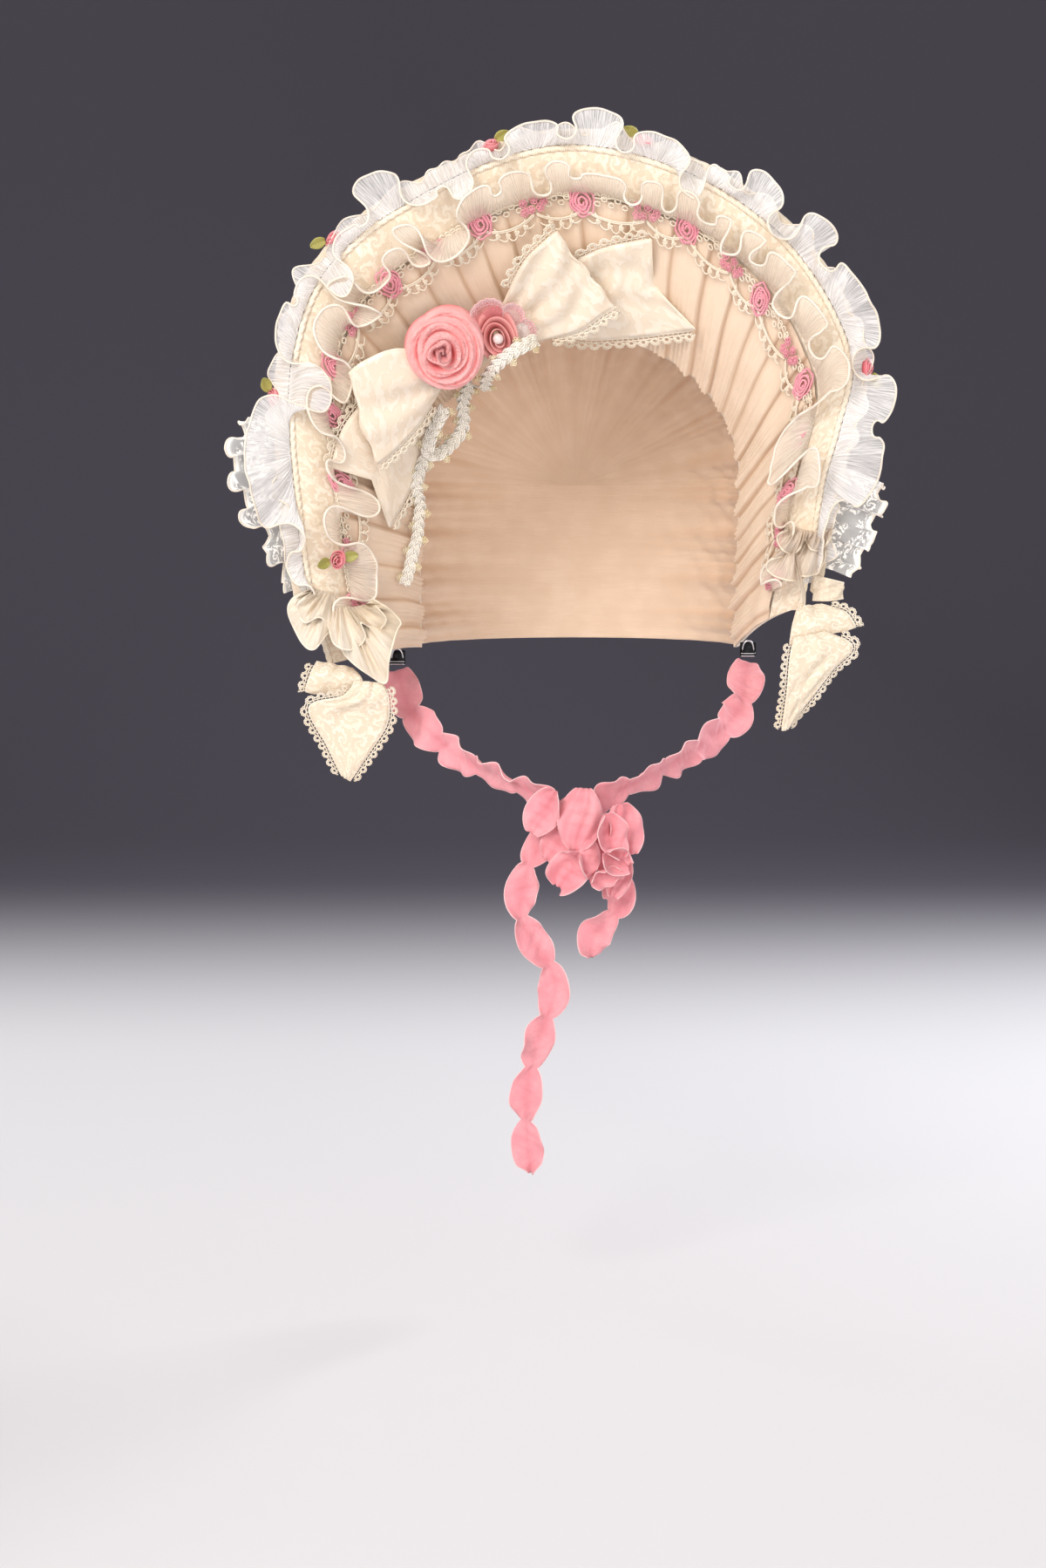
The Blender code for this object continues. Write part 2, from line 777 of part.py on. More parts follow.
def rolled_rose(name, centre, turn, radii, height, turns, columns, wall, material):
    """A strip of cloth rolled into a rose: low in the middle of each turn and flared outside."""
    def place(u, v):
        grow = u ** 0.8
        angle = turns * 2.0 * math.pi * u
        rim_wave = 1.0 + 0.05 * math.sin(3.0 * angle + 1.0)
        radius = mix(ROSE_CORE, 1.0, grow) * mix(ROSE_FLARE, 1.0, v) * rim_wave
        rise = height * v * mix(1.0, ROSE_OUTER_RISE, u) + 0.5 * math.sin(2.0 * angle) * v
        local = Vector((radii[0] * radius * math.cos(angle), radii[1] * radius * math.sin(angle), rise))
        return centre + turn @ local

    return cloth(name, columns, 2, place, wall, material)


def make_roses():
    rolled_rose("muslin_rose", over_brim(*MUSLIN_ROSE), face_brim(*MUSLIN_ROSE[:2]), MUSLIN_ROSE_RADII,
                MUSLIN_ROSE_HEIGHT, MUSLIN_ROSE_TURNS, 40, MUSLIN_ROSE_WALL, pink_muslin)
    small = over_brim(*SATIN_ROSE)
    small_turn = face_brim(*SATIN_ROSE[:2])
    rolled_rose("satin_rose", small, small_turn, SATIN_ROSE_RADII, SATIN_ROSE_HEIGHT, SATIN_ROSE_TURNS, 26,
                SATIN_ROSE_WALL, pink_satin)
    pearl = small + small_turn @ Vector((0.0, 0.0, PEARL_HEIGHT))
    ball("rose_pearl", pearl, (PEARL_RADIUS,) * 3, white_pearl, Matrix.Identity(3))


def make_lace_petals():
    """Scalloped lace leaf that shows above the small rose."""
    def place(u, v):
        angle = math.radians(mix(*LACE_PETALS_TURN, u))
        scallop = 1.0 + LACE_PETALS_SCALLOP * math.cos(6.0 * math.pi * u)
        radius = mix(LACE_PETALS_RADII[0], LACE_PETALS_RADII[1] * scallop, v)
        x = LACE_PETALS_CENTRE[0] + radius * math.cos(angle)
        z = LACE_PETALS_CENTRE[1] + radius * math.sin(angle)
        return over_brim(x, z, mix(*LACE_PETALS_HEIGHTS, v))

    return cloth("lace_petals", 9, 1, place, RUFFLE_THICKNESS, pink_lace)


def make_braids():
    cross = Route([over_brim(*row) for row in BRAID_CROSS])
    loop = Route([over_brim(*row) for row in BRAID_LOOP])
    tail = Route([over_brim(*row) for row in BRAID_TAIL])
    for name, route, radius in (("braid_cross", cross, BRAID_RADIUS), ("braid_loop", loop, BRAID_RADIUS),
                                ("braid_tail", tail, BRAID_TAIL_RADIUS)):
        count = max(int(route.total / BRAID_STEP), 6)
        points = [route.at(route.total * index / count) for index in range(count + 1)]
        tube(name, points, radius, cream_cord)


def leaf_shape(name, base, direction, side, length, width, material, steps=2):
    """A pointed leaf folded a little along its middle."""
    normal = direction.cross(side).normalized()

    def place(u, v):
        half = width * 0.5 * math.sin(math.pi * mix(0.12, 0.94, u)) ** 0.8
        across = 2.0 * v - 1.0
        return base + direction * (length * u) + side * (half * across) + normal * (LEAF_FOLD * abs(across))

    return cloth(name, steps, 2, place, LEAF_THICKNESS, material)


def make_rosebuds():
    for number, (station, from_rim, height, turn) in enumerate(ROSEBUDS, 1):
        point, along, outward, normal = brim_frame(station, from_rim)
        centre = point + normal * height
        basis = Matrix((along, outward, normal)).transposed()
        ball(f"rosebud_{number}", centre, (ROSEBUD_RADIUS, ROSEBUD_RADIUS, ROSEBUD_RADIUS * 0.8),
             pink_satin, basis)
        angle = math.radians(turn)
        direction = along * math.cos(angle) + outward * math.sin(angle)
        side = normal.cross(direction)
        leaf_shape(f"rosebud_leaf_{number}", centre + direction * ROSEBUD_RADIUS, direction, side,
                   *ROSEBUD_LEAF, green_leaf)


def make_ends():
    loft_cloth("end_ruffle_left", free_sections(END_RUFFLE_LEFT), 2, 3, RUFFLE_THICKNESS, cream_chiffon)
    loft_cloth("end_ruffle_right", free_sections(END_RUFFLE_RIGHT), 2, 3, RUFFLE_THICKNESS, cream_chiffon)
    loft_cloth("side_loop_left", free_sections(SIDE_LOOP_LEFT), 3, 2, BOW_THICKNESS, cream_damask)
    loft_cloth("side_tail_left", free_sections(SIDE_TAIL_LEFT), 2, 3, BOW_THICKNESS, cream_damask)
    loft_cloth("side_loop_right", free_sections(SIDE_LOOP_RIGHT), 3, 2, BOW_THICKNESS, cream_damask)
    loft_cloth("side_tail_right", free_sections(SIDE_TAIL_RIGHT), 2, 3, BOW_THICKNESS, cream_damask)
    loft_cloth("side_tab_right", free_sections(TAB_RIGHT), 2, 2, BOW_THICKNESS, cream_damask)


def petal_ribbon(name, table, narrowest):
    """A ribbon cut in leaf-shaped petals along its route."""
    route = Route([row[:3] for row in table])
    rolls = [Vector((row[3], 0.0, 0.0)) for row in table]
    petals = max(round(route.total / PETAL_LENGTH), 1)
    last = len(table) - 1

    def place(u, v):
        point = route.at(route.total * u)
        ahead = route.at(route.total * min(u + 0.02, 1.0)) - route.at(route.total * max(u - 0.02, 0.0))
        along = ahead.normalized()
        side = along.cross(Vector((0.0, -1.0, 0.0))).normalized()
        roll = math.radians(curve_value(rolls, u * last).x)
        side = Matrix.Rotation(roll, 3, along) @ side
        half = mix(narrowest, TIE_WIDTH, abs(math.sin(math.pi * petals * u)) ** 0.7) * 0.5
        if u > 0.999:
            half = narrowest * 0.4
        bend = along.cross(side) * (RIBBON_BEND * math.sin(math.pi * v))
        return point + side * (half * (2.0 * v - 1.0)) + bend

    return cloth(name, petals * 3, 2, place, RIBBON_THICKNESS, pink_ribbon)


def make_ties():
    petal_ribbon("chin_tie_left", CHIN_TIE_LEFT, TIE_WAIST)
    petal_ribbon("chin_tie_right", CHIN_TIE_RIGHT, TIE_WAIST)
    petal_ribbon("tie_tail_long", TIE_TAIL_LONG, TAIL_WAIST)
    petal_ribbon("tie_tail_short", TIE_TAIL_SHORT, TAIL_WAIST)
    centre = Vector(TIE_KNOT)
    ball("tie_knot", centre, TIE_KNOT_RADII, pink_ribbon, Matrix.Identity(3))
    for number, (angle, length, width, lean, depth) in enumerate(TIE_PETALS, 1):
        turn = math.radians(angle)
        forward = math.radians(lean)
        flat = Vector((math.cos(turn), 0.0, math.sin(turn)))
        direction = flat * math.cos(forward) + Vector((0.0, -1.0, 0.0)) * math.sin(forward)
        side = direction.cross(Vector((0.0, -1.0, 0.0))).normalized()
        base = centre + flat * TIE_PETAL_START - Vector((0.0, depth, 0.0))
        leaf_shape(f"tie_petal_{number}", base, direction, side, length, width, pink_ribbon, 4)


def make_clips():
    for name, place in (("ribbon_clip_left", CLIP_LEFT), ("ribbon_clip_right", CLIP_RIGHT)):
        bpy.ops.mesh.primitive_cube_add(size=1.0, location=Vector(place) * MM)
        clip = bpy.context.object
        clip.name = name
        clip.data.name = name
        clip.scale = Vector(CLIP_SIZE) * MM
        bpy.ops.object.transform_apply(location=False, rotation=False, scale=True)
        clip.data.materials.append(dark_steel)
        edge = clip.modifiers.new("Edge", "BEVEL")
        edge.width = CLIP_EDGE * MM
        edge.segments = 1
        for group in clip.users_collection:
            group.objects.unlink(clip)
        parts.objects.link(clip)


clear_scene()
parts = make_collection("ruffled_bonnet")
rim = Route(RIM_POINTS)

cream_damask = make_material("cream_damask", DAMASK_CREAM, 0.5)
beige_lining = make_material("beige_lining", LINING_BEIGE, 0.8)
cream_cord = make_material("cream_cord", LACE_CREAM, 0.7)
cream_chiffon = make_material("cream_chiffon", CHIFFON_CREAM, 0.8)
white_chiffon = make_material("white_chiffon", CHIFFON_WHITE, 0.8)
cream_lace = make_material("cream_lace", LACE_CREAM, 0.8)
white_lace = make_material("white_lace", LACE_WHITE, 0.8)
pink_lace = make_material("pink_lace", MUSLIN_PINK, 0.8)
pink_muslin = make_material("pink_muslin", MUSLIN_PINK, 0.85)
pink_satin = make_material("pink_satin", SATIN_PINK, 0.4)
pink_ribbon = make_material("pink_ribbon", RIBBON_PINK, 0.7)
green_leaf = make_material("green_leaf", LEAF_GREEN, 0.5)
white_pearl = make_material("white_pearl", PEARL_WHITE, 0.2)
dark_steel = make_material("dark_steel", STEEL_DARK, 0.3, 1.0)

make_crown()
make_brim()
make_outer_ruffle()
make_side_lace("side_lace_left", SIDE_LACE_LEFT_FOLDS)
make_side_lace("side_lace_right", SIDE_LACE_RIGHT_FOLDS)
make_inner_ruffle()
make_rose_lace()
make_bow()
make_roses()
make_lace_petals()
make_braids()
make_rosebuds()
make_ends()
make_clips()
make_ties()
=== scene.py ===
import math

import bpy
import numpy as np
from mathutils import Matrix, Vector


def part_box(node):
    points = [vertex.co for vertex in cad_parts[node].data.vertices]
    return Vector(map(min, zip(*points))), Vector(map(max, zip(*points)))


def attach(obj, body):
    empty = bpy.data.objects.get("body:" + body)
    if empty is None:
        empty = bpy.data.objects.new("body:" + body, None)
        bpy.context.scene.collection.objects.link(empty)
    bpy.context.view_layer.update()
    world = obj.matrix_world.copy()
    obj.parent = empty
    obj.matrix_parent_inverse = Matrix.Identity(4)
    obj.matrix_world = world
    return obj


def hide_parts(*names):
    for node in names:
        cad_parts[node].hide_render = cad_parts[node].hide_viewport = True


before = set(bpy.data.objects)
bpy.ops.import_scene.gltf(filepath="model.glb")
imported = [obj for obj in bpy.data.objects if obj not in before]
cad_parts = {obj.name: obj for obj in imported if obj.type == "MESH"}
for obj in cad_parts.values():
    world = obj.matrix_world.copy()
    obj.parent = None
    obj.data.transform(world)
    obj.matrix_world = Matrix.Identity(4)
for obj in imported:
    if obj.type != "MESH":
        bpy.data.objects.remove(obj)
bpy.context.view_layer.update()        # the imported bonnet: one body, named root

# Sizes and tables are in millimetres, as a dressmaker measures, and meshes are written in metres
mm = 0.001

# Numbers, curves and waves


def mix(a, b, share):
    return a + (b - a) * share


def smooth(share):
    share = np.clip(share, 0.0, 1.0)
    return share * share * (3.0 - 2.0 * share)


def unit(rows):
    return rows / np.maximum(np.linalg.norm(rows, axis=-1, keepdims=True), 1e-9)


def drift(x, seed, slow, fast, count=4):        # a calm random wave between about -1 and 1
    dice = np.random.default_rng(seed)
    total = 0.0
    for _ in range(count):
        total = total + np.sin(2 * np.pi * dice.uniform(slow, fast) * x + dice.uniform(0, 2 * np.pi))
    return total / count ** 0.5


def throughRows(rows, position):        # smooth values through the rows of a table
    rows = np.asarray(rows, float)
    last = len(rows) - 1
    index = np.clip(np.floor(position).astype(int), 0, last - 1)
    t = (position - index)[:, None]
    start, end = rows[index], rows[index + 1]
    pullStart = (end - rows[np.maximum(index - 1, 0)]) * 0.5
    pullEnd = (rows[np.minimum(index + 2, last)] - start) * 0.5
    return (start * (2 * t ** 3 - 3 * t ** 2 + 1) + pullStart * (t ** 3 - 2 * t ** 2 + t)
            + end * (3 * t ** 2 - 2 * t ** 3) + pullEnd * (t ** 3 - t ** 2))


def runLengths(points):        # the length of a line up to each of its points
    return np.concatenate([[0.0], np.cumsum(np.linalg.norm(np.diff(points, axis=0), axis=1))])


def makeRoute(points, steps=16):
    dense = throughRows(points, np.linspace(0, len(points) - 1, (len(points) - 1) * steps + 1))
    lengths = runLengths(dense)
    return {"points": dense, "lengths": lengths, "total": lengths[-1]}


def lineAt(place, steps, v=1.0):        # a line along a cloth, on its outer edge unless v says otherwise
    return place(np.linspace(0, 1, steps), np.full(steps, float(v)))


def alongRoute(route, distance):
    return np.stack([np.interp(distance, route["lengths"], route["points"][:, k]) for k in range(3)], axis=-1)


# The brim: its rim, its seam with the crown and the surface between them

rimPoints = [
    (-127, -30, -168), (-136, -42, -131), (-140, -52, -94), (-143, -62, -50), (-141, -70, -15),
    (-130, -77, 19), (-107, -84, 45), (-76, -89, 64), (-41, -93, 80), (-9, -95, 87),
    (21, -95, 84), (52, -93, 74), (80, -89, 59), (105, -84, 38), (125, -77, 10),
    (135, -70, -17), (130, -62, -46), (124, -52, -72), (120, -41, -108), (115, -31, -140),
]
seamShape = {"centreX": 2.0, "halfWidth": 86.0, "rise": 78.0, "centreZ": -75.0, "legBottom": -163.0,
             "topY": -35.0, "bottomY": 18.0}
brimShape = {"flare": 5.0, "aim": (2.0, -120.0, -75.0), "border": 19.0, "thickness": 2.0}
rim = makeRoute(rimPoints, 32)
rimLength = rim["total"]


def seamPoints(share):
    s = seamShape
    leg = s["centreZ"] - s["legBottom"]
    arch = math.pi * 0.5 * (s["halfWidth"] + s["rise"])
    distance = share * (2 * leg + arch)
    angle = np.pi * np.clip((distance - leg) / arch, 0, 1)
    x = -s["halfWidth"] * np.cos(angle)
    z = s["centreZ"] + s["rise"] * np.sin(angle)
    z = z - np.maximum(leg - distance, 0) - np.maximum(distance - leg - arch, 0)
    top = s["centreZ"] + s["rise"]
    y = mix(s["topY"], s["bottomY"], (top - z) / (top - s["legBottom"]))
    return np.stack([s["centreX"] + x, y, z], axis=-1)


def brimPoints(station, fromRim):
    edge = alongRoute(rim, station)
    seam = seamPoints(np.clip(station / rimLength, 0, 1))
    across = 1.0 - fromRim / np.linalg.norm(edge - seam, axis=-1)
    point = seam + (edge - seam) * across[:, None]
    flare = np.where((across > 0) & (across < 1), 4 * brimShape["flare"] * across * (1 - across), 0.0)
    return point + unit(np.array(brimShape["aim"]) - point) * flare[:, None]


def brimFrames(station, fromRim):        # point, direction along the rim, outward, and the front's normal
    station, fromRim = np.broadcast_arrays(np.asarray(station, float), np.asarray(fromRim, float))
    station, fromRim = station.ravel(), fromRim.ravel()
    inside = np.maximum(fromRim, 1.0)
    low, high = np.clip(station - 2, 0, rimLength), np.clip(station + 2, 0, rimLength)
    along = unit(brimPoints(high, inside) - brimPoints(low, inside))
    outward = brimPoints(station, inside - 1) - brimPoints(station, inside + 1)
    normal = unit(np.cross(along, outward))
    outward = np.cross(normal, along)
    past = np.maximum(-fromRim, 0)[:, None]
    point = brimPoints(station, np.maximum(fromRim, 0)) + outward * past
    return point, along, outward, normal


def aboveBrim(station, fromRim, height):
    point, _, _, normal = brimFrames(station, fromRim)
    return point + normal * np.asarray(height, float).reshape(-1, 1)


def brimDepth(station):
    return np.linalg.norm(alongRoute(rim, station) - seamPoints(station / rimLength), axis=-1)


def overBrim(x, z, height):        # the place at x and z that lies at a height above the brim's front
    x, z, height = (np.asarray(a, float).ravel() for a in np.broadcast_arrays(x, z, height))
    angle = np.arctan2(z - seamShape["centreZ"], seamShape["centreX"] - x)
    station = rimLength * np.clip(0.2 + 0.6 * angle / np.pi, 0.02, 0.98)
    fromRim = np.full_like(station, 50.0)
    for _ in range(14):
        point = aboveBrim(station, fromRim, height)
        side = (aboveBrim(station + 0.5, fromRim, height) - point) / 0.5
        inner = (aboveBrim(station, fromRim + 0.5, height) - point) / 0.5
        missX, missZ = x - point[:, 0], z - point[:, 2]
        area = side[:, 0] * inner[:, 2] - side[:, 2] * inner[:, 0]
        station = station + np.clip((missX * inner[:, 2] - missZ * inner[:, 0]) / area, -25, 25)
        fromRim = fromRim + np.clip((side[:, 0] * missZ - side[:, 2] * missX) / area, -15, 15)
        station = np.clip(station, 1, rimLength - 1)
        fromRim = np.clip(fromRim, 2, 130)
    return aboveBrim(station, fromRim, height)


def brimBasis(x, z):        # columns: along the bow's line, up the brim, out of its front
    side = (overBrim(x + 3, z + 1, 0) - overBrim(x - 3, z - 1, 0))[0]
    upward = (overBrim(x, z + 3, 0) - overBrim(x, z - 3, 0))[0]
    normal = unit(np.cross(side, upward))
    if normal[1] > 0:
        normal = -normal
    side = unit(side - normal * (side @ normal))
    return np.stack([side, np.cross(normal, side), normal], axis=1)


# Shader groups and cloth materials


def tone(red, green, blue):        # a paint-chart colour as the renderer wants it
    return (*(((c / 255) ** 2.2) for c in (red, green, blue)), 1.0)


def plug(tree, value, socket):
    if isinstance(value, bpy.types.NodeSocket):
        tree.links.new(value, socket)
    else:
        socket.default_value = value


def plugAll(tree, inputs, values):
    for label, value in values.items():
        plug(tree, value, inputs[label])


def calc(tree, operation, *values):
    node = tree.nodes.new("ShaderNodeMath")
    node.operation = operation
    for value, socket in zip(values, node.inputs):
        plug(tree, value, socket)
    return node.outputs[0]


def times(tree, first, second):
    return calc(tree, "MULTIPLY", first, second)


def timesPlus(tree, first, second, third):
    return calc(tree, "MULTIPLY_ADD", first, second, third)


def ramp(tree, value, low, high, fromValue=0.0, toValue=1.0):
    node = tree.nodes.new("ShaderNodeMapRange")
    node.interpolation_type = "SMOOTHSTEP"
    plugAll(tree, node.inputs, {"Value": value, "From Min": low, "From Max": high,
                                "To Min": fromValue, "To Max": toValue})
    return node.outputs["Result"]


def blendColours(tree, share, first, second):
    node = tree.nodes.new("ShaderNodeMix")
    node.data_type = "RGBA"
    plugAll(tree, node.inputs, {"Factor": share, "A": first, "B": second})
    return node.outputs["Result"]


def noise(tree, vector, scale, detail=2.0, roughness=0.5, output="Fac"):
    node = tree.nodes.new("ShaderNodeTexNoise")
    plugAll(tree, node.inputs, {"Vector": vector, "Scale": scale, "Detail": detail, "Roughness": roughness})
    return node.outputs[output]


def splitXY(tree, vector):
    node = tree.nodes.new("ShaderNodeSeparateXYZ")
    plug(tree, vector, node.inputs[0])
    return node.outputs[0], node.outputs[1]


def stretch(tree, vector, *scales):
    node = tree.nodes.new("ShaderNodeCombineXYZ")
    for part, scale, socket in zip(splitXY(tree, vector), scales, node.inputs):
        plug(tree, times(tree, part, scale), socket)
    return node.outputs[0]


def newGroup(name, numbers, outputs):        # each group takes a vector and some numbers
    tree = bpy.data.node_groups.new(name, "ShaderNodeTree")
    tree.interface.new_socket("Vector", in_out="INPUT", socket_type="NodeSocketVector")
    for label, value in numbers.items():
        tree.interface.new_socket(label, in_out="INPUT", socket_type="NodeSocketFloat").default_value = value
    for label in outputs:
        tree.interface.new_socket(label, in_out="OUTPUT", socket_type="NodeSocketFloat")
    return tree, tree.nodes.new("NodeGroupInput").outputs, tree.nodes.new("NodeGroupOutput").inputs


def useGroup(tree, group, **values):
    node = tree.nodes.new("ShaderNodeGroup")
    node.node_tree = group
    for label, value in values.items():
        plug(tree, value, node.inputs[label])
    return node.outputs


def makeCrinkleGroup():        # fine parallel crinkles that run up the cloth
    tree, given, out = newGroup("crinkle", {"Across": 14.0, "Along": 0.7}, ["Height", "Shade"])
    lines = noise(tree, stretch(tree, given["Vector"], given["Across"], given["Along"]), 1.0, 3.0, 0.62)
    broad = noise(tree, stretch(tree, given["Vector"], 1.6, 0.5), 1.0, 1.0)
    plug(tree, timesPlus(tree, broad, 0.6, lines), out["Height"])
    plug(tree, ramp(tree, lines, 0.36, 0.62), out["Shade"])
    return tree


def makeWeaveGroup():        # plain weave, over and under
    tree, given, out = newGroup("weave", {"Threads": 18.0}, ["Height"])
    turn = times(tree, given["Threads"], math.pi)
    warp, weft = (calc(tree, "SINE", times(tree, part, turn)) for part in splitXY(tree, given["Vector"]))
    plug(tree, timesPlus(tree, times(tree, warp, weft), 0.5, 0.5), out["Height"])
    return tree


def makeDamaskGroup():        # leaf scrolls that turn left and right in offset tiles
    tree, given, out = newGroup("damaskScrolls", {"Tile": 1.5}, ["Mask", "Height"])
    bent = tree.nodes.new("ShaderNodeVectorMath")
    bent.operation = "MULTIPLY_ADD"
    sway = noise(tree, given["Vector"], 1.1, output="Color")
    for value, socket in zip((sway, (0.75, 0.75, 0.0), given["Vector"]), bent.inputs):
        plug(tree, value, socket)
    across, up = (calc(tree, "DIVIDE", part, given["Tile"]) for part in splitXY(tree, bent.outputs[0]))
    row = calc(tree, "FLOOR", across)
    up = timesPlus(tree, row, 0.5, up)
    x, y = (calc(tree, "SUBTRACT", calc(tree, "FRACT", part), 0.5) for part in (across, up))
    flip = timesPlus(tree, calc(tree, "PINGPONG", row, 1.0), 2.0, -1.0)
    radius = calc(tree, "SQRT", timesPlus(tree, x, x, times(tree, y, y)))
    angle = calc(tree, "ARCTAN2", y, times(tree, x, flip))
    curl = timesPlus(tree, calc(tree, "LOGARITHM", calc(tree, "ADD", radius, 0.04), math.e), 5.2,
                     times(tree, angle, 2.0))
    leaf = times(tree, calc(tree, "SINE", times(tree, angle, 11.0)), radius)
    scroll = calc(tree, "SINE", timesPlus(tree, leaf, 1.7, curl))
    scroll = times(tree, ramp(tree, scroll, -0.12, 0.16), ramp(tree, radius, 0.62, 0.46))
    petals = calc(tree, "SINE", times(tree, angle, 5.0))
    corner = ramp(tree, timesPlus(tree, petals, 0.035, radius), 0.615, 0.63)
    mask = calc(tree, "MAXIMUM", scroll, corner)
    plug(tree, mask, out["Mask"])
    veins = calc(tree, "SINE", times(tree, curl, 4.0))
    plug(tree, timesPlus(tree, times(tree, veins, mask), 0.12, mask), out["Height"])
    return tree


def makeNetGroup():        # round-holed net
    tree, given, out = newGroup("net", {"Holes": 9.0}, ["Thread"])
    x, y = splitXY(tree, given["Vector"])
    turn = times(tree, given["Holes"], math.pi)
    slopes = (times(tree, calc(tree, operation, x, y), turn) for operation in ("ADD", "SUBTRACT"))
    hole = times(tree, *(calc(tree, "ABSOLUTE", calc(tree, "SINE", slope)) for slope in slopes))
    plug(tree, ramp(tree, hole, 0.55, 0.36), out["Thread"])
    return tree


def makeTwistGroup():        # plies that wind round a cord
    tree, given, out = newGroup("twistedPlies", {"Turns": 3.0, "Plies": 2.0}, ["Height"])
    along, around = splitXY(tree, given["Vector"])
    wind = timesPlus(tree, around, given["Plies"], times(tree, along, given["Turns"]))
    plug(tree, calc(tree, "ABSOLUTE", calc(tree, "SINE", times(tree, wind, math.pi))), out["Height"])
    return tree


def makeTintGroup():        # slight unevenness of dye and handling
    tree, given, out = newGroup("unevenTint", {"Scale": 30.0}, ["Share"])
    plug(tree, ramp(tree, noise(tree, given["Vector"], given["Scale"], 3.0), 0.3, 0.72), out["Share"])
    return tree


crinkleGroup, weaveGroup, damaskGroup = makeCrinkleGroup(), makeWeaveGroup(), makeDamaskGroup()
netGroup, twistGroup, tintGroup = makeNetGroup(), makeTwistGroup(), makeTintGroup()


def newMaterial(name):        # its tree, its shader's inputs and the texture spaces
    material = bpy.data.materials.new(name)
    material.use_nodes = True
    tree = material.node_tree
    return tree, tree.nodes["Principled BSDF"].inputs, tree.nodes.new("ShaderNodeTexCoord").outputs


def readMark(tree, name):        # a number that the mesh carries on each vertex
    node = tree.nodes.new("ShaderNodeAttribute")
    node.attribute_name = name
    return node.outputs["Fac"]


def makeCloth(name, look):        # a cloth from its own dictionary of colours and depths
    tree, shader, spots = newMaterial(name)
    weave, shade, roughness = spots["UV"], tone(*look["shade"]), look["roughness"]
    tint = useGroup(tree, tintGroup, Vector=spots["Object"], Scale=look.get("tintScale", 30.0))["Share"]
    colour = blendColours(tree, tint, shade, tone(*look["colour"]))
    height = times(tree, tint, 0.15)
    lines = None
    if "crinkle" in look:
        across, along, depth = look["crinkle"]
        lines = useGroup(tree, crinkleGroup, Vector=weave, Across=across, Along=along)
        shadow = ramp(tree, lines["Shade"], 0, 1, 0.0, look.get("lineShade", 0.16))
        colour = blendColours(tree, shadow, colour, shade)
        height = timesPlus(tree, lines["Height"], depth, height)
    if "damask" in look:
        tile, ground, groundRoughness = look["damask"]
        scroll = useGroup(tree, damaskGroup, Vector=weave, Tile=tile)
        colour = blendColours(tree, scroll["Mask"], tone(*ground), colour)
        height = timesPlus(tree, scroll["Height"], 0.5, height)
        roughness = ramp(tree, scroll["Mask"], 0, 1, groundRoughness, roughness)
    if "weave" in look:
        threads, depth = look["weave"]
        plain = useGroup(tree, weaveGroup, Vector=weave, Threads=threads)
        height = timesPlus(tree, plain["Height"], depth, height)
    if "twist" in look:
        turns, plies, depth = look["twist"]
        rope = useGroup(tree, twistGroup, Vector=weave, Turns=turns, Plies=plies)
        # painted shade in the grooves between the plies, in the look's fold colour
        colour = blendColours(tree, ramp(tree, rope["Height"], 0.0, 0.45), tone(*look["fold"]), colour)
        height = timesPlus(tree, rope["Height"], depth, height)
    # The vertex mark "fold" blends in the look's fold colour. On most cloths this is painted shade in
    # creases, folds, grooves and deep turns; on pinkLace it is the lace's own white edge.
    if look.get("foldShade"):
        colour = blendColours(tree, readMark(tree, "fold"), tone(*look["fold"]), colour)
    if "alpha" in look:
        thin, thick = look["alpha"]
        sheer = ramp(tree, lines["Shade"], 0, 1, thin, thick) if lines else thin
        if "net" in look:
            holes, tile = look["net"]
            threads = useGroup(tree, netGroup, Vector=weave, Holes=holes)["Thread"]
            sprigs = ramp(tree, noise(tree, weave, 1.3, 1.0), 0.44, 0.52)        # with plain net between
            motif = times(tree, useGroup(tree, damaskGroup, Vector=weave, Tile=tile)["Mask"], sprigs)
            height = timesPlus(tree, motif, 0.8, height)
            sheer = calc(tree, "MAXIMUM", times(tree, threads, thin), times(tree, motif, thick))
        plug(tree, calc(tree, "MAXIMUM", sheer, readMark(tree, "dense")), shader["Alpha"])
    bump = tree.nodes.new("ShaderNodeBump")
    plugAll(tree, bump.inputs, {"Strength": look.get("bump", 0.6), "Distance": 0.4 * mm, "Height": height})
    plugAll(tree, shader, {"Base Color": colour, "Roughness": roughness, "Normal": bump.outputs[0],
                           "Sheen Weight": look.get("sheen", 0.0), "Sheen Roughness": 0.4,
                           "Specular IOR Level": look.get("gloss", 0.3)})
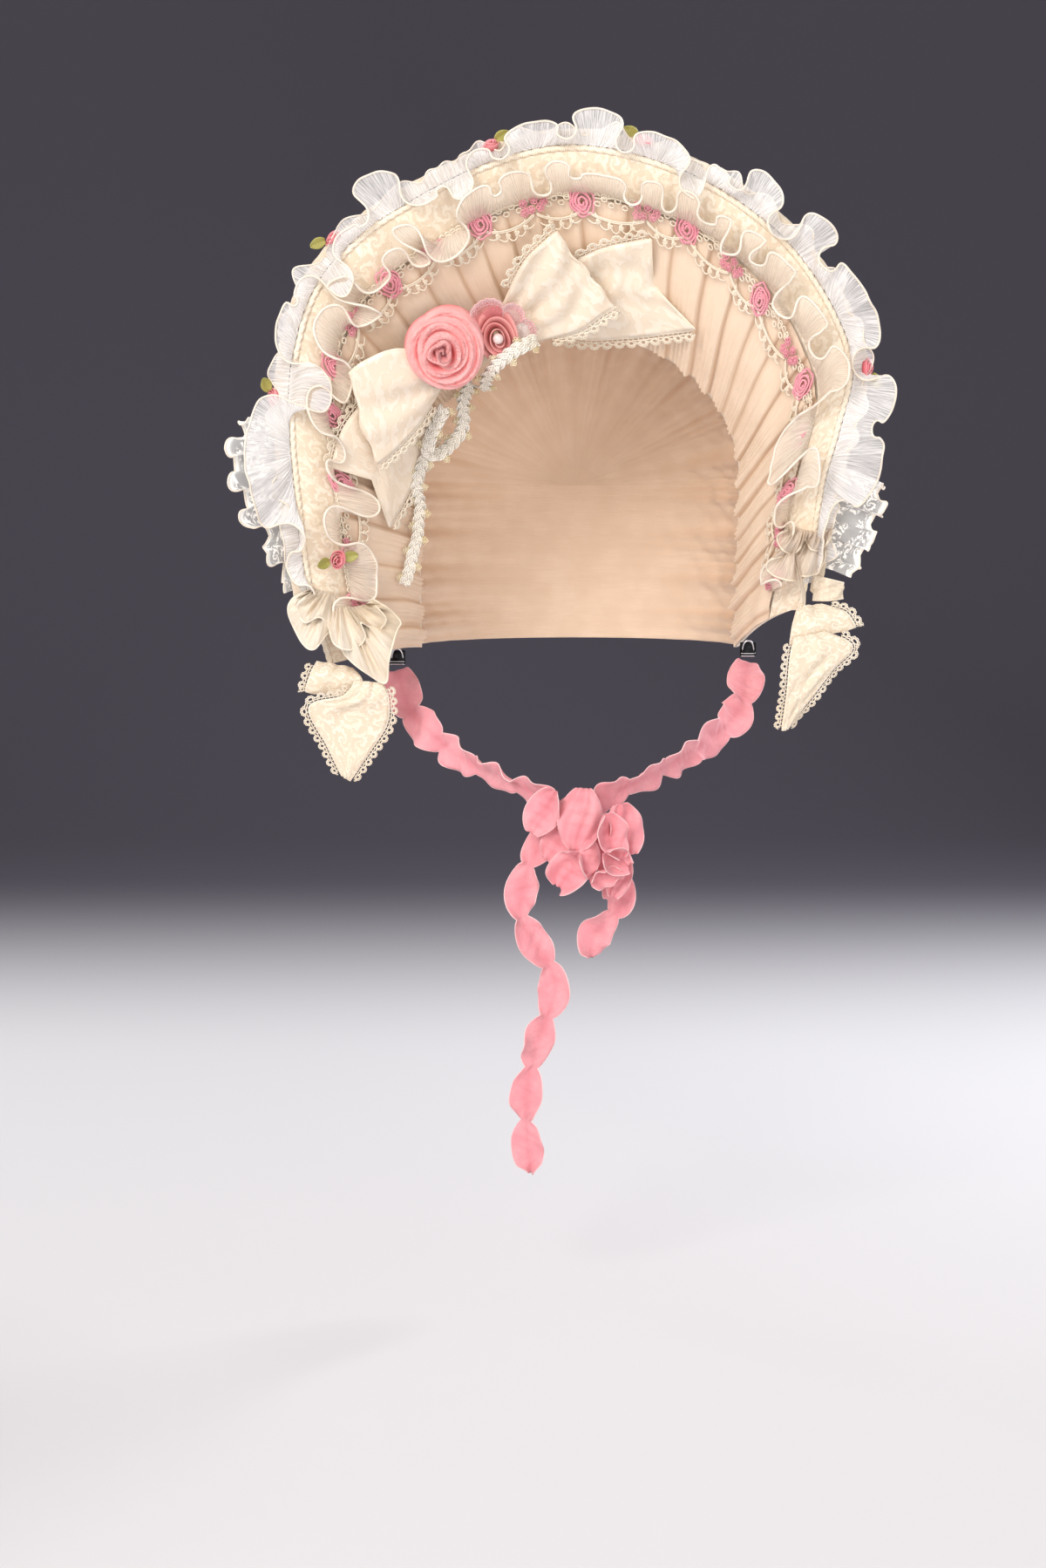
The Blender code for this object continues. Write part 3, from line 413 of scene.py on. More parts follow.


# In each look, "fold" is the colour of painted shade in creases, folds and cord grooves, except on pinkLace,
# where it is the lace's own white. "shade" is a darker tone, used both for uneven dye and for painted shade
# along the crinkles.
clothLooks = {
    "beigeLining": {"colour": (238, 214, 190), "shade": (229, 203, 177), "fold": (198, 160, 128),
                    "roughness": 0.7, "tintScale": 60.0, "foldShade": True, "crinkle": (16.0, 0.5, 1.1),
                    "lineShade": 0.6, "weave": (22.0, 0.15), "sheen": 0.15},
    "creamDamask": {"colour": (242, 229, 211), "shade": (236, 220, 199), "roughness": 0.32, "tintScale": 80.0,
                    "damask": (2.3, (233, 215, 192), 0.56), "weave": (26.0, 0.12), "sheen": 0.1,
                    "gloss": 0.5},
    "sideDamask": {"colour": (244, 232, 212), "shade": (238, 222, 198), "roughness": 0.34, "tintScale": 80.0,
                   "damask": (1.3, (228, 209, 183), 0.62), "weave": (26.0, 0.12), "sheen": 0.1, "gloss": 0.5},
    "whiteChiffon": {"colour": (251, 248, 245), "shade": (238, 234, 232), "roughness": 0.75,
                     "crinkle": (13.0, 0.6, 1.2), "alpha": (0.42, 0.80), "bump": 0.7, "sheen": 0.1},
    "creamChiffon": {"colour": (240, 226, 209), "shade": (226, 207, 187), "roughness": 0.75,
                     "crinkle": (13.0, 0.6, 1.1), "alpha": (0.52, 0.82), "bump": 0.7, "sheen": 0.1},
    "goldChiffon": {"colour": (239, 227, 210), "shade": (222, 203, 176), "roughness": 0.7,
                    "crinkle": (9.0, 0.8, 1.8), "lineShade": 0.55, "bump": 0.9, "sheen": 0.1},
    "whiteNet": {"colour": (255, 254, 250), "shade": (248, 245, 240), "roughness": 0.8,
                 "net": (14.0, 0.8), "alpha": (0.66, 1.0), "bump": 0.3},
    "creamEdge": {"colour": (232, 218, 200), "shade": (216, 198, 174), "roughness": 0.6,
                  "crinkle": (6.0, 0.8, 1.2), "lineShade": 0.5, "weave": (24.0, 0.2), "sheen": 0.1},
    "creamThread": {"colour": (251, 240, 222), "shade": (245, 230, 206), "fold": (222, 196, 164),
                    "roughness": 0.6, "twist": (9.0, 2.0, 0.7), "sheen": 0.15},
    "hemThread": {"colour": (249, 239, 225), "shade": (242, 228, 210), "fold": (226, 206, 182),
                  "roughness": 0.65, "twist": (7.0, 2.0, 0.5), "sheen": 0.15},
    "roseThread": {"colour": (246, 176, 186), "shade": (240, 158, 170), "fold": (224, 118, 136),
                   "roughness": 0.45, "twist": (8.0, 2.0, 0.8), "gloss": 0.5, "sheen": 0.1},
    "pinkMuslin": {"colour": (253, 190, 186), "shade": (250, 170, 168), "fold": (240, 122, 124),
                   "roughness": 0.8, "tintScale": 160.0, "crinkle": (5.0, 9.0, 3.0), "lineShade": 0.4,
                   "weave": (20.0, 0.35), "foldShade": True, "bump": 0.9, "sheen": 0.3},
    "dustySatin": {"colour": (240, 170, 164), "shade": (230, 150, 146), "fold": (204, 106, 104),
                   "roughness": 0.42, "tintScale": 120.0, "crinkle": (3.0, 14.0, 0.8), "weave": (30.0, 0.1),
                   "foldShade": True, "gloss": 0.5, "sheen": 0.1},
    "pinkLace": {"colour": (240, 158, 160), "shade": (226, 132, 136), "fold": (254, 244, 238),
                 "roughness": 0.6, "foldShade": True, "net": (12.0, 0.45), "alpha": (0.95, 1.0),
                 "bump": 0.35},
    "pinkCrepe": {"colour": (240, 166, 171), "shade": (230, 148, 156), "fold": (200, 98, 110),
                  "roughness": 0.78, "tintScale": 90.0, "crinkle": (7.0, 5.0, 1.3), "lineShade": 0.35,
                  "weave": (24.0, 0.25), "foldShade": True, "bump": 0.8, "sheen": 0.25},
    "paleEdge": {"colour": (253, 216, 214), "shade": (240, 184, 186), "fold": (216, 140, 146),
                 "roughness": 0.7, "twist": (6.0, 2.0, 0.3)},
    "whitePlait": {"colour": (248, 243, 234), "shade": (238, 230, 216), "fold": (176, 156, 128),
                   "roughness": 0.5, "twist": (6.0, 2.0, 0.7), "sheen": 0.2},
    "goldTuft": {"colour": (250, 238, 210), "shade": (240, 220, 178), "fold": (206, 172, 116),
                 "roughness": 0.5, "twist": (8.0, 2.0, 0.8), "gloss": 0.5},
    "rosebudSatin": {"colour": (242, 160, 164), "shade": (230, 132, 140), "fold": (196, 78, 90),
                     "roughness": 0.36, "crinkle": (3.0, 12.0, 0.5), "foldShade": True, "gloss": 0.5,
                     "sheen": 0.1},
    "leafSatin": {"colour": (186, 180, 104), "shade": (146, 140, 66), "roughness": 0.4,
                  "crinkle": (12.0, 2.0, 0.8), "lineShade": 0.4, "gloss": 0.5},
}
for clothName, clothLook in clothLooks.items():
    makeCloth(clothName, clothLook)
print("materials ready:", len(clothLooks))

# Making and finishing pieces


def deselectAll():
    if bpy.context.object and bpy.context.object.mode != "OBJECT":
        bpy.ops.object.mode_set(mode="OBJECT")
    bpy.ops.object.select_all(action="DESELECT")


def readPoints(piece):
    spots = np.zeros(len(piece.data.vertices) * 3)
    piece.data.vertices.foreach_get("co", spots)
    return spots.reshape(-1, 3)


def writePoints(piece, spots):
    piece.data.vertices.foreach_set("co", np.ascontiguousarray(spots, float).ravel())
    piece.data.update()


def mark(piece, name, values):        # a number on each vertex, which a material reads
    layer = piece.data.attributes.new(name, "FLOAT", "POINT")
    layer.data.foreach_set("value", np.ascontiguousarray(values, float))


def chooseMaterial(piece, material):
    piece.data.materials.clear()
    piece.data.materials.append(bpy.data.materials[material])


seamGap = {"cloth": 0.00003, "thread": 0.000005}        # metres between points that are one


def mergeSeams(distance):        # of the piece that was made last
    bpy.ops.object.mode_set(mode="EDIT")
    bpy.ops.mesh.select_all(action="SELECT")
    bpy.ops.mesh.remove_doubles(threshold=distance)
    bpy.ops.mesh.normals_make_consistent(inside=False)
    bpy.ops.mesh.select_all(action="DESELECT")
    bpy.ops.object.mode_set(mode="OBJECT")


def thicken(cloth, thickness, inside=None):        # the cloth laid last; returns the area of one side
    area = clothArea(cloth)
    wall = cloth.modifiers.new("wall", "SOLIDIFY")
    wall.thickness = thickness * mm
    wall.offset = 0.0
    if inside:
        cloth.data.materials.append(bpy.data.materials[inside])
        wall.material_offset = 1
        wall.material_offset_rim = 0
    bpy.ops.object.modifier_apply(modifier=wall.name)
    return area


def layCloth(name, grid, place, material, pattern, closed=False, **marks):        # pattern is its flat size
    deselectAll()
    bpy.ops.mesh.primitive_grid_add(x_subdivisions=grid[0], y_subdivisions=grid[1], size=1)
    cloth = bpy.context.object
    cloth.name = cloth.data.name = name
    flat = readPoints(cloth) + 0.5
    u, v = flat[:, 0], flat[:, 1]
    writePoints(cloth, place(u, v) * mm)
    weave = cloth.data.uv_layers.active.data
    spots = np.zeros(len(weave) * 2)
    weave.foreach_get("uv", spots)
    spots = spots.reshape(-1, 2) * np.array(pattern) / 10        # weaves are drawn in centimetres
    weave.foreach_set("uv", spots.ravel())
    for label, values in marks.items():
        mark(cloth, label, values(u, v))
    chooseMaterial(cloth, material)
    bpy.ops.object.shade_smooth()
    if closed:
        mergeSeams(seamGap["cloth"])
    return cloth


def clothArea(cloth):
    return sum(face.area for face in cloth.data.polygons)


def tangents(points, closed=False):
    if closed:
        return unit(np.roll(points, -1, 0) - np.roll(points, 1, 0))
    return unit(np.gradient(points, axis=0))


def ringFrames(tangent):        # two cross directions that turn with the cord
    first = np.zeros_like(tangent)
    guess = np.array([0.0, -1.0, 0.0])
    if abs(tangent[0] @ guess) > 0.9:
        guess = np.array([0.0, 0.0, 1.0])
    for index, ahead in enumerate(tangent):
        guess = guess - ahead * (guess @ ahead)
        guess = guess / max(np.linalg.norm(guess), 1e-9)
        first[index] = guess
    return first, np.cross(tangent, first)


def cordMesh(points, radius, sides, closed=False, first=None, second=None):
    count = len(points)
    if first is None:
        first, second = ringFrames(tangents(points, closed))
    radius = np.full((count, 1, 1), radius, float)
    if not closed:
        radius[0] = radius[-1] = 0.0        # the ends close to a point
    turn = 2 * np.pi * np.arange(sides)[None, :, None] / sides
    rings = points[:, None] + radius * (np.cos(turn) * first[:, None] + np.sin(turn) * second[:, None])
    steps, spokes = np.arange(count if closed else count - 1)[:, None], np.arange(sides)[None]
    here, there, beside = steps * sides, (steps + 1) % count * sides, (spokes + 1) % sides
    quads = np.stack([here + spokes, here + beside, there + beside, there + spokes], -1)
    length = runLengths(points) / 10
    length = np.append(length, length[-1] + length[1])
    near, far, low, high = length[steps], length[steps + 1], spokes / sides, (spokes + 1) / sides
    corners = ((near, low), (near, high), (far, high), (far, low))
    uv = np.stack([np.stack(np.broadcast_arrays(*corner), -1) for corner in corners], 2)
    return rings.reshape(-1, 3), quads.reshape(-1, 4), uv.reshape(-1, 2)


def joinMeshes(name, meshes, material):        # many small threads become one piece
    points, quads, uvs = zip(*meshes)
    starts = np.cumsum([0] + [len(spots) for spots in points])
    faces = np.concatenate([rows + start for rows, start in zip(quads, starts)])
    data = bpy.data.meshes.new(name)
    data.from_pydata((np.concatenate(points) * mm).tolist(), [], faces.tolist())
    data.uv_layers.new(name="UVMap").data.foreach_set("uv", np.concatenate(uvs).ravel())
    piece = bpy.data.objects.new(name, data)
    bpy.context.scene.collection.objects.link(piece)
    chooseMaterial(piece, material)
    deselectAll()
    piece.select_set(True)
    bpy.context.view_layer.objects.active = piece
    bpy.ops.object.shade_smooth()
    mergeSeams(seamGap["thread"])
    return piece


def layCord(name, points, radius, material, sides):
    return joinMeshes(name, [cordMesh(points, radius, sides)], material)


def threadsOn(lines, surface, radius, sides):        # flat thread shapes (along, out, up) laid on a surface
    meshes = []
    for line in lines:
        closed = np.allclose(line[0], line[-1])
        if closed:
            line = line[:-1]
        points, normal = surface(*line.T)
        tangent = tangents(points, closed)
        side = unit(np.cross(tangent, normal))
        meshes.append(cordMesh(points, radius, sides, closed, side, np.cross(side, tangent)))
    return meshes


def finishPiece(piece, slot, *nodes):
    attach(piece, "root")
    if nodes:
        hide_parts(*nodes)
    return piece


def polyLength(points):
    return float(np.linalg.norm(np.diff(points, axis=0), axis=1).sum())


def camel(node):
    first, *others = node.split("_")
    return first + "".join(word.capitalize() for word in others)


# Brim, lining, border and crown

liningLook = {"pleats": 30, "rise": 0.84, "fall": 0.16, "low": 0.9, "deep": 3.1, "shallow": 1.5,
              "gathers": 150, "gatherDepth": 0.6, "least": 0.7, "puckers": 118, "grid": (840, 22)}


def makeBrim():
    border, look = brimShape["border"], liningLook

    def shell(u, v):
        station = u * rimLength
        height = -1.0 + 0.15 * drift(u, 3, 20, 60) * (1 - v)
        return aboveBrim(station, mix(brimDepth(station), 0.0, v), height)

    def pleat(u):        # how far through its pleat a place is
        phase = look["pleats"] * u + 0.35 * drift(u, 11, 2, 6)
        return phase - np.floor(phase)

    def lining(u, v):
        station, t = u * rimLength, pleat(u)
        fall = 1 - smooth((t - look["rise"]) / look["fall"])
        ridge = np.where(t < look["rise"], smooth(t / look["rise"]), fall)
        depth = mix(look["deep"], look["shallow"], v) * (1 + 0.25 * drift(u, 12, 5, 12))
        gathers = look["gatherDepth"] * np.sin(2 * np.pi * look["gathers"] * u + 2 * drift(u, 5, 10, 30))
        height = look["low"] + depth * ridge + gathers * (1 - v) ** 2
        height = height + 0.35 * drift(v + 0.7 * u, 8, 1, 3) * np.sin(np.pi * v)
        sway = 1.2 * drift(v, 21, 0.5, 1.5) * (1 - v)
        fromRim = mix(brimDepth(station) - 1, border + 1.2, v)
        return aboveBrim(station + sway, fromRim, np.maximum(height, look["least"]))

    def crease(u, v):        # painted shade in the valley behind each pleat
        t = pleat(u)
        return 1 - 0.75 * np.exp(-((t - 0.97) / 0.05) ** 2) - 0.3 * np.exp(-(t / 0.08) ** 2)

    def band(u, v):
        pucker = 0.3 * np.sin(2 * np.pi * look["puckers"] * u + drift(u, 31, 10, 40))
        height = 1.1 - 1.3 * v ** 8 + 0.5 * np.sin(np.pi * v) + pucker * np.sin(np.pi * v) ** 0.5
        return aboveBrim(u * rimLength, mix(border, -1.3, v), height)

    back = layCloth("brimShell", (270, 12), shell, "creamDamask", (rimLength, 80))
    thicken(back, brimShape["thickness"])
    finishPiece(back, "cream_damask", "brim")
    inner = layCloth("brimLining", look["grid"], lining, "beigeLining", (rimLength * 1.3, 80), fold=crease)
    finishPiece(inner, "beige_lining", "brim_lining")
    edge = layCloth("brimBorder", (700, 7), band, "sideDamask", (rimLength, border))
    finishPiece(edge, "cream_damask", "brim_border")


crownLook = {"puff": 7.0, "folds": 19, "foldDepth": 2.6, "gathers": 58, "gatherDepth": 1.7, "backY": 116.0,
             "setback": 2.4, "thickness": 1.5, "grid": (406, 36)}


def makeCrown():
    c, s = crownLook, seamShape

    def gatherWave(u):
        return np.sin(2 * np.pi * c["gathers"] * u + 2.5 * drift(u, 41, 4, 12))

    def place(u, v):
        seam, turn = seamPoints(u), v * np.pi * 0.5
        size = np.where(v < 1, np.abs(np.cos(turn)) ** 0.9, 0.0)
        puff = 1 + c["puff"] / s["halfWidth"] * np.abs(np.sin(np.pi * v)) ** 0.8
        fold = np.cos(2 * np.pi * c["folds"] * u) * c["foldDepth"] * np.sin(np.pi * np.minimum(v * 1.6, 1))
        fold = fold + gatherWave(u) * c["gatherDepth"] * np.exp(-v * 2.4) * smooth(v * 12)
        fold = fold + 0.8 * drift(u + 0.3 * v, 42, 14, 26) * np.sin(np.pi * v)
        scale = size * puff + fold / s["halfWidth"] * size
        rise = np.maximum(seam[:, 2] - s["centreZ"], 0)
        x = s["centreX"] + (seam[:, 0] - s["centreX"]) * scale
        y = mix(seam[:, 1] + c["setback"], c["backY"], np.sin(turn))
        return np.stack([x, y, np.minimum(seam[:, 2], s["centreZ"]) + rise * scale], axis=-1)

    def shadow(u, v):        # darker between the gathers, and deeper in
        between = 0.5 - 0.5 * gatherWave(u)
        folds = 0.5 - 0.5 * np.cos(2 * np.pi * c["folds"] * u)
        return 0.88 - 0.5 * between * np.exp(-v * 3) - 0.25 * folds * (1 - v)

    crown = layCloth("crownPuff", c["grid"], place, "creamDamask", (520, 170), closed=True, fold=shadow)
    thicken(crown, c["thickness"], "beigeLining")
    finishPiece(crown, "cream_damask", "crown")


pipingLook = {"radius": 1.85, "offset": 2.6, "strand": 1.5, "turnLength": 9.0, "steps": 900}


def makePiping():        # two plies wound round each other along the rim
    look = pipingLook
    station = np.linspace(0, rimLength, look["steps"])
    centre = aboveBrim(station, -look["offset"], -1.0)
    _, _, outward, normal = brimFrames(station, -look["offset"])
    reach = look["radius"] - look["strand"]
    meshes = []
    for ply in (0, 1):
        turn = 2 * np.pi * station / look["turnLength"] + np.pi * ply
        line = centre + reach * (np.cos(turn)[:, None] * outward + np.sin(turn)[:, None] * normal)
        meshes.append(cordMesh(line, look["strand"], 6, False, outward, normal))
    finishPiece(joinMeshes("rimPiping", meshes, "creamThread"), "cream_cord", "rim_piping")


makeBrim()
makeCrown()
makePiping()
print("brim and crown ready")

# Ruffles. Rows: station of each turn of the hem, its distance inside or beyond the rim, half its loop's width

innerTurns = [
    (30, 1, 3), (56, 33, 11), (81, 4, 5), (103, 40, 6), (113, 9, 3), (125, 22, 5), (142, 1, 8),
    (169, 27, 7), (184, -1, 9), (216, 26, 8), (206, -3, 4), (229, 17, 5), (241, 5, 5), (256, 22, 6),
    (250, -2, 5), (270, 25, 7), (297, 0, 9), (304, 7, 3), (313, -1, 7), (329, 14, 3), (337, -2, 12),
    (346, 7, 3), (368, 4, 11), (375, 15, 4), (390, 0, 6), (396, 12, 3), (407, -1, 6), (418, 9, 6),
    (431, 1, 8), (431, 16, 6), (452, -2, 8), (449, 11, 4), (473, -3, 8), (473, 19, 8), (504, -3, 12),
    (507, 12, 5), (534, -7, 8), (546, 44, 11), (590, -6, 7), (597, 19, 6), (620, 4, 5), (634, 24, 5),
    (648, 4, 3),
]
outerTurns = [
    (42, 5, 3), (58, 14, 5), (72, 6, 4), (112, 29, 17), (155, -14, 5), (180, 17, 12), (190, 11, 2),
    (198, 14, 6), (211, -6, 6), (227, 13, 7), (239, 10, 3), (250, 27, 12), (270, 3, 8), (279, 7, 3),
    (288, -2, 5), (302, 14, 5), (312, 7, 4), (328, 18, 12), (343, 10, 4), (356, 23, 13), (370, 7, 3),
    (384, 18, 11), (409, -1, 6), (413, 15, 7), (425, 11, 4), (434, 23, 10), (455, 5, 6), (468, 27, 12),
    (479, 12, 4), (509, 23, 14), (530, 7, 5), (543, 29, 8), (556, 21, 3), (579, 31, 13), (610, 11, 6),
    (630, 12, 5), (648, 5, 3),
]
sideLaceFolds = {  # station, reach between the folds, reach on them, lift
    "Left": [(42, 14, 11, 2), (62, 22, 17, 3), (84, 33, 26, 3), (104, 37, 30, 3), (120, 37, 26, 3),
             (134, 25, 16, 2)],
    "Right": [(584, 34, 30, 3), (602, 38, 29, 3), (620, 34, 26, 3), (640, 26, 20, 2)],
}
outerLook = {"seam": 4.6, "low": -0.5, "hem": 0.55, "stands": ((-4, 13.5), (6, 7.5), (20, -1.5)),
             "grid": (1400, 15), "gathers": 260, "gatherDepth": 0.45}
innerLook = {"seam": 17.0, "low": 2.3, "rise": 12.5, "hem": 0.68, "grid": (1500, 15), "gathers": 240,
             "gatherDepth": 0.4}
underLook = {"reach": 8.0, "low": -1.0, "rise": -2.4, "first": 34, "last": 16, "hem": 0.45, "grid": (900, 6),
             "gathers": 230, "gatherDepth": 0.35}
edgingLook = {"middle": 7.4, "height": -4.5, "half": 4.0, "thick": 1.2, "puckers": 96, "depth": 0.035}


def foldAt(folds, phase):
    rows = np.asarray(folds, float)
    index = np.clip(np.floor(phase).astype(int), 0, len(rows) - 2)
    t = phase - index
    now, after = rows[index], rows[index + 1]
    top = 0.5 + 0.5 * np.cos(2 * np.pi * t)
    reach = mix(now[:, 2], mix(now[:, 1], after[:, 1], t), top)
    return {"t": t, "top": top, "reach": reach, "station": mix(now[:, 0], after[:, 0], t),
            "lift": mix(now[:, 3], after[:, 3], t)}


def hemRoute(turns):        # the hem meanders through its turns in round loops that overhang
    rows = np.asarray(turns, float)
    steps = 160
    t = (np.arange(steps) + 0.5) / steps
    station, reach, phase = [], [], []
    for index, (now, after) in enumerate(zip(rows[:-1], rows[1:])):
        change, rest = after - now, None
        for swing in np.arange(np.clip(1.25 + 0.045 * (now[2] + after[2]), 1.3, 2.0), 2.5, 0.05):
            angle = swing * np.sin(np.pi * t)
            along, across = np.cumsum(np.cos(angle)) / steps, np.cumsum(np.sin(angle)) / steps
            size = change[1] / across[-1]
            rest = change[0] - abs(size) * along[-1]
            if rest > -0.3 * abs(size):
                break
        start = np.where(t < 0.5, 2 * t + np.sin(2 * np.pi * t) / np.pi, 1.0)        # beside this turn
        share = now[2] ** 1.3 / (now[2] ** 1.3 + after[2] ** 1.3)
        station.append(now[0] + abs(size) * along + rest * (share * start + (1 - share) * (1 - start[::-1])))
        reach.append(now[1] + size * across)
        phase.append(index + t)
    station, reach, phase = (np.concatenate(values) for values in (station, reach, phase))
    padded = np.pad(rows[:, 0], 2, mode="reflect", reflect_type="odd")
    calm = np.convolve(padded, (0.12, 0.24, 0.28, 0.24, 0.12), "valid")
    seam = np.interp(phase, np.arange(len(rows)), np.maximum.accumulate(calm))
    length = np.concatenate([[0.0], np.cumsum(np.hypot(np.diff(station), np.diff(reach)))])
    return {"share": length / length[-1], "station": station, "reach": reach, "seam": seam}


def readHem(hem, u):
    return (np.interp(u, hem["share"], hem[key]) for key in ("station", "reach", "seam"))


# A gathered cloth with a cord along its hem. The hem row gives steps, radius, sides and thread


def makeFlounce(name, grid, place, material, pattern, dense, hem, slot, *nodes, support="brim", width=None):
    cloth = layCloth(name, grid, place, material, pattern, dense=dense)
    steps, radius, sides, thread = hem
    line = lineAt(place, steps)
    edge = layCord(name + "Hem", line, radius, thread, sides)
    width or polyLength(line)
    finishPiece(cloth, slot, *nodes)
    finishPiece(edge, "cream_cord")


def makeOuterRuffle():
    look, hemLine = outerLook, hemRoute(outerTurns)
    reaches, rises = zip(*look["stands"])

    def place(u, v):
        station, reach, seam = readHem(hemLine, u)
        rise = np.interp(reach, reaches, rises) + 1.3 * drift(u, 63, 18, 36) + 0.5 * drift(u, 66, 60, 110)
        gathers = look["gatherDepth"] * np.sin(2 * np.pi * u * look["gathers"]) * (1 - v) ** 2
        height = mix(look["low"], rise, np.sin(np.pi * v / 2) ** 0.9) + gathers
        beyond = mix(look["seam"], reach, v ** 1.35)
        return aboveBrim(mix(seam, station, v ** 0.8), -beyond, height)

    makeFlounce("outerRuffle", look["grid"], place, "whiteChiffon", (1500, 24),
                lambda u, v: 0.9 * (1 - smooth(v / 0.22)), (2300, look["hem"], 5, "hemThread"),
                "white_chiffon", "outer_ruffle")


def makeRimEdging():        # padded cream edge outside the piping
    look = edgingLook

    def place(u, v):
        station, turn = mix(14, rimLength - 10, u), 2 * np.pi * v
        waves = np.sin(2 * np.pi * look["puckers"] * u + 2 * drift(u, 67, 10, 30)) + drift(u, 68, 20, 50)
        taper = np.sin(np.pi * np.clip(u, 0.0, 1.0)) ** 0.05 * np.where((u <= 0) | (u >= 1), 0.0, 1.0)
        pucker = 1 + look["depth"] * waves
        return aboveBrim(station, -look["middle"] - look["half"] * np.cos(turn) * pucker * taper,
                         look["height"] + look["thick"] * np.sin(turn) * pucker * taper)

    edging = layCloth("rimEdging", (500, 12), place, "creamEdge", (rimLength * 1.2, 26), closed=True)
    finishPiece(edging, "cream_damask")


def makeUnderRuffle():        # a shorter layer under the outer ruffle, along the whole rim
    look, start = underLook, outerLook["seam"]

    def place(u, v):
        reach = look["reach"] + 3.0 * drift(u, 161, 14, 34)
        reach = reach + 0.9 * np.sin(2 * np.pi * u * 47 + 3 * drift(u, 162, 6, 12))
        beyond = mix(start, start + reach * smooth(np.minimum(u, 1 - u) / 0.03), v)
        gathers = look["gatherDepth"] * np.sin(2 * np.pi * u * look["gathers"]) * (1 - v) ** 2
        height = mix(look["low"], look["rise"] + 1.6 * drift(u, 163, 26, 52), v) + gathers
        return aboveBrim(mix(look["first"], rimLength - look["last"], u), -beyond, height)

    makeFlounce("underRuffle", look["grid"], place, "whiteChiffon", (1300, 12),
                lambda u, v: 0.5 * (1 - smooth(v / 0.3)), (900, look["hem"], 4, "hemThread"), "white_chiffon")


def makeInnerRuffle():
    look, hemLine = innerLook, hemRoute(innerTurns)

    def place(u, v):
        station, fromRim, seam = readHem(hemLine, u)
        rise = look["rise"] + 1.8 * drift(u, 64, 16, 34) - 0.14 * np.maximum(fromRim - 20, 0)
        gathers = look["gatherDepth"] * np.sin(2 * np.pi * u * look["gathers"]) * (1 - v) ** 2
        flutter = 0.5 * drift(u, 65, 60, 110) * v + gathers
        height = mix(look["low"], rise, np.sin(np.pi * v / 2) ** 0.9) + flutter
        return aboveBrim(mix(seam, station, v ** 0.8), mix(look["seam"], fromRim, v ** 1.4), height)

    makeFlounce("innerRuffle", look["grid"], place, "creamChiffon", (1700, 24),
                lambda u, v: 0.9 * (1 - smooth(v / 0.15)), (2500, look["hem"], 5, "hemThread"),
                "cream_chiffon", "inner_ruffle", support="brimBorder")


sideLaceLook = {"start": -8.0, "seamHeight": -3.2, "height": -11.5, "scallop": 9.0, "scallopDepth": 2.4,
                "hem": 0.5}


def makeSideLace(side):
    folds = sideLaceFolds[side]
    count = len(folds) - 1
    look = sideLaceLook

    def place(u, v):
        fold = foldAt(folds, u * count)
        scallop = np.abs(np.sin(np.pi * (fold["station"] / look["scallop"]))) * look["scallopDepth"]
        scallop = (scallop - look["scallopDepth"]) * smooth((v - 0.6) / 0.4)
        beyond = mix(look["start"], fold["reach"] + scallop, v)
        drop = mix(look["seamHeight"], look["height"], smooth(1.5 * v))
        drop = drop + fold["lift"] * (2 * fold["top"] - 1) * v + 1.2 * drift(u, 71, 6, 12) * v
        return aboveBrim(fold["station"] + 2 * np.sin(4 * np.pi * fold["t"]) * v, -beyond, drop)

    span = folds[-1][0] - folds[0][0]
    makeFlounce("sideLace" + side, (36 * count, 22), place, "whiteNet", (span * 1.4, 44),
                lambda u, v: 0.95 * smooth((v - 0.9) / 0.06), (160 * count, look["hem"], 5, "hemThread"),
                "white_lace", "side_lace_" + side.lower(), width=polyLength(lineAt(place, 200, 0.5)))


makeRimEdging()
makeOuterRuffle()
makeUnderRuffle()
makeInnerRuffle()
makeSideLace("Left")
makeSideLace("Right")
print("ruffles ready")

# Rose lace: a picot chain, scallops with small loops, and embroidered roses and flower clusters

motifs = [  # station, kind, distance inside the rim
    (34, "rose", 20), (66, "cluster", 21), (107, "rose", 22), (145, "rose", 18), (171, "rose", 17),
    (200, "cluster", 19), (230, "rose", 21), (260, "cluster", 20), (290, "rose", 19), (321, "cluster", 20),
    (348, "rose", 21), (384, "cluster", 20), (408, "rose", 19), (439, "cluster", 23), (463, "rose", 26),
    (498, "cluster", 28), (519, "rose", 27), (552, "cluster", 25), (585, "rose", 23), (612, "cluster", 21),
    (638, "rose", 19),
]
roseLaceLook = {"height": 4.0, "thread": 0.46, "low": 4.0, "scallop": 9.4, "loopWidth": 6.0, "loopDepth": 5.4,
                "slant": -0.75, "chain": 3.6, "roseThread": 0.62, "flowerThread": 0.42}


def onLaceBand(along, out, up):        # out counts inward from the line of roses
    line = np.interp(along, [row[0] for row in motifs], [row[2] for row in motifs])
    point, _, _, normal = brimFrames(along, line + out)
    return point + normal * (roseLaceLook["height"] + up)[:, None], normal


def circle(x, y, radius, steps=9, up=0.0, squash=1.0):
    turn = np.linspace(0, 2 * np.pi, steps)
    return np.stack([x + radius * np.cos(turn), y + radius * squash * np.sin(turn), np.full(steps, up)], -1)


def dLoop(x, y, width, depth, slant, steps=9):        # half-round loop that stands on its base
    turn = np.linspace(0, np.pi, steps)
    across, out = -0.5 * width * np.cos(turn), depth * np.sin(turn) ** 0.8
    return np.stack([x + across * np.cos(slant) - out * np.sin(slant),
                     y + across * np.sin(slant) + out * np.cos(slant), 0.3 * np.sin(turn)], -1)


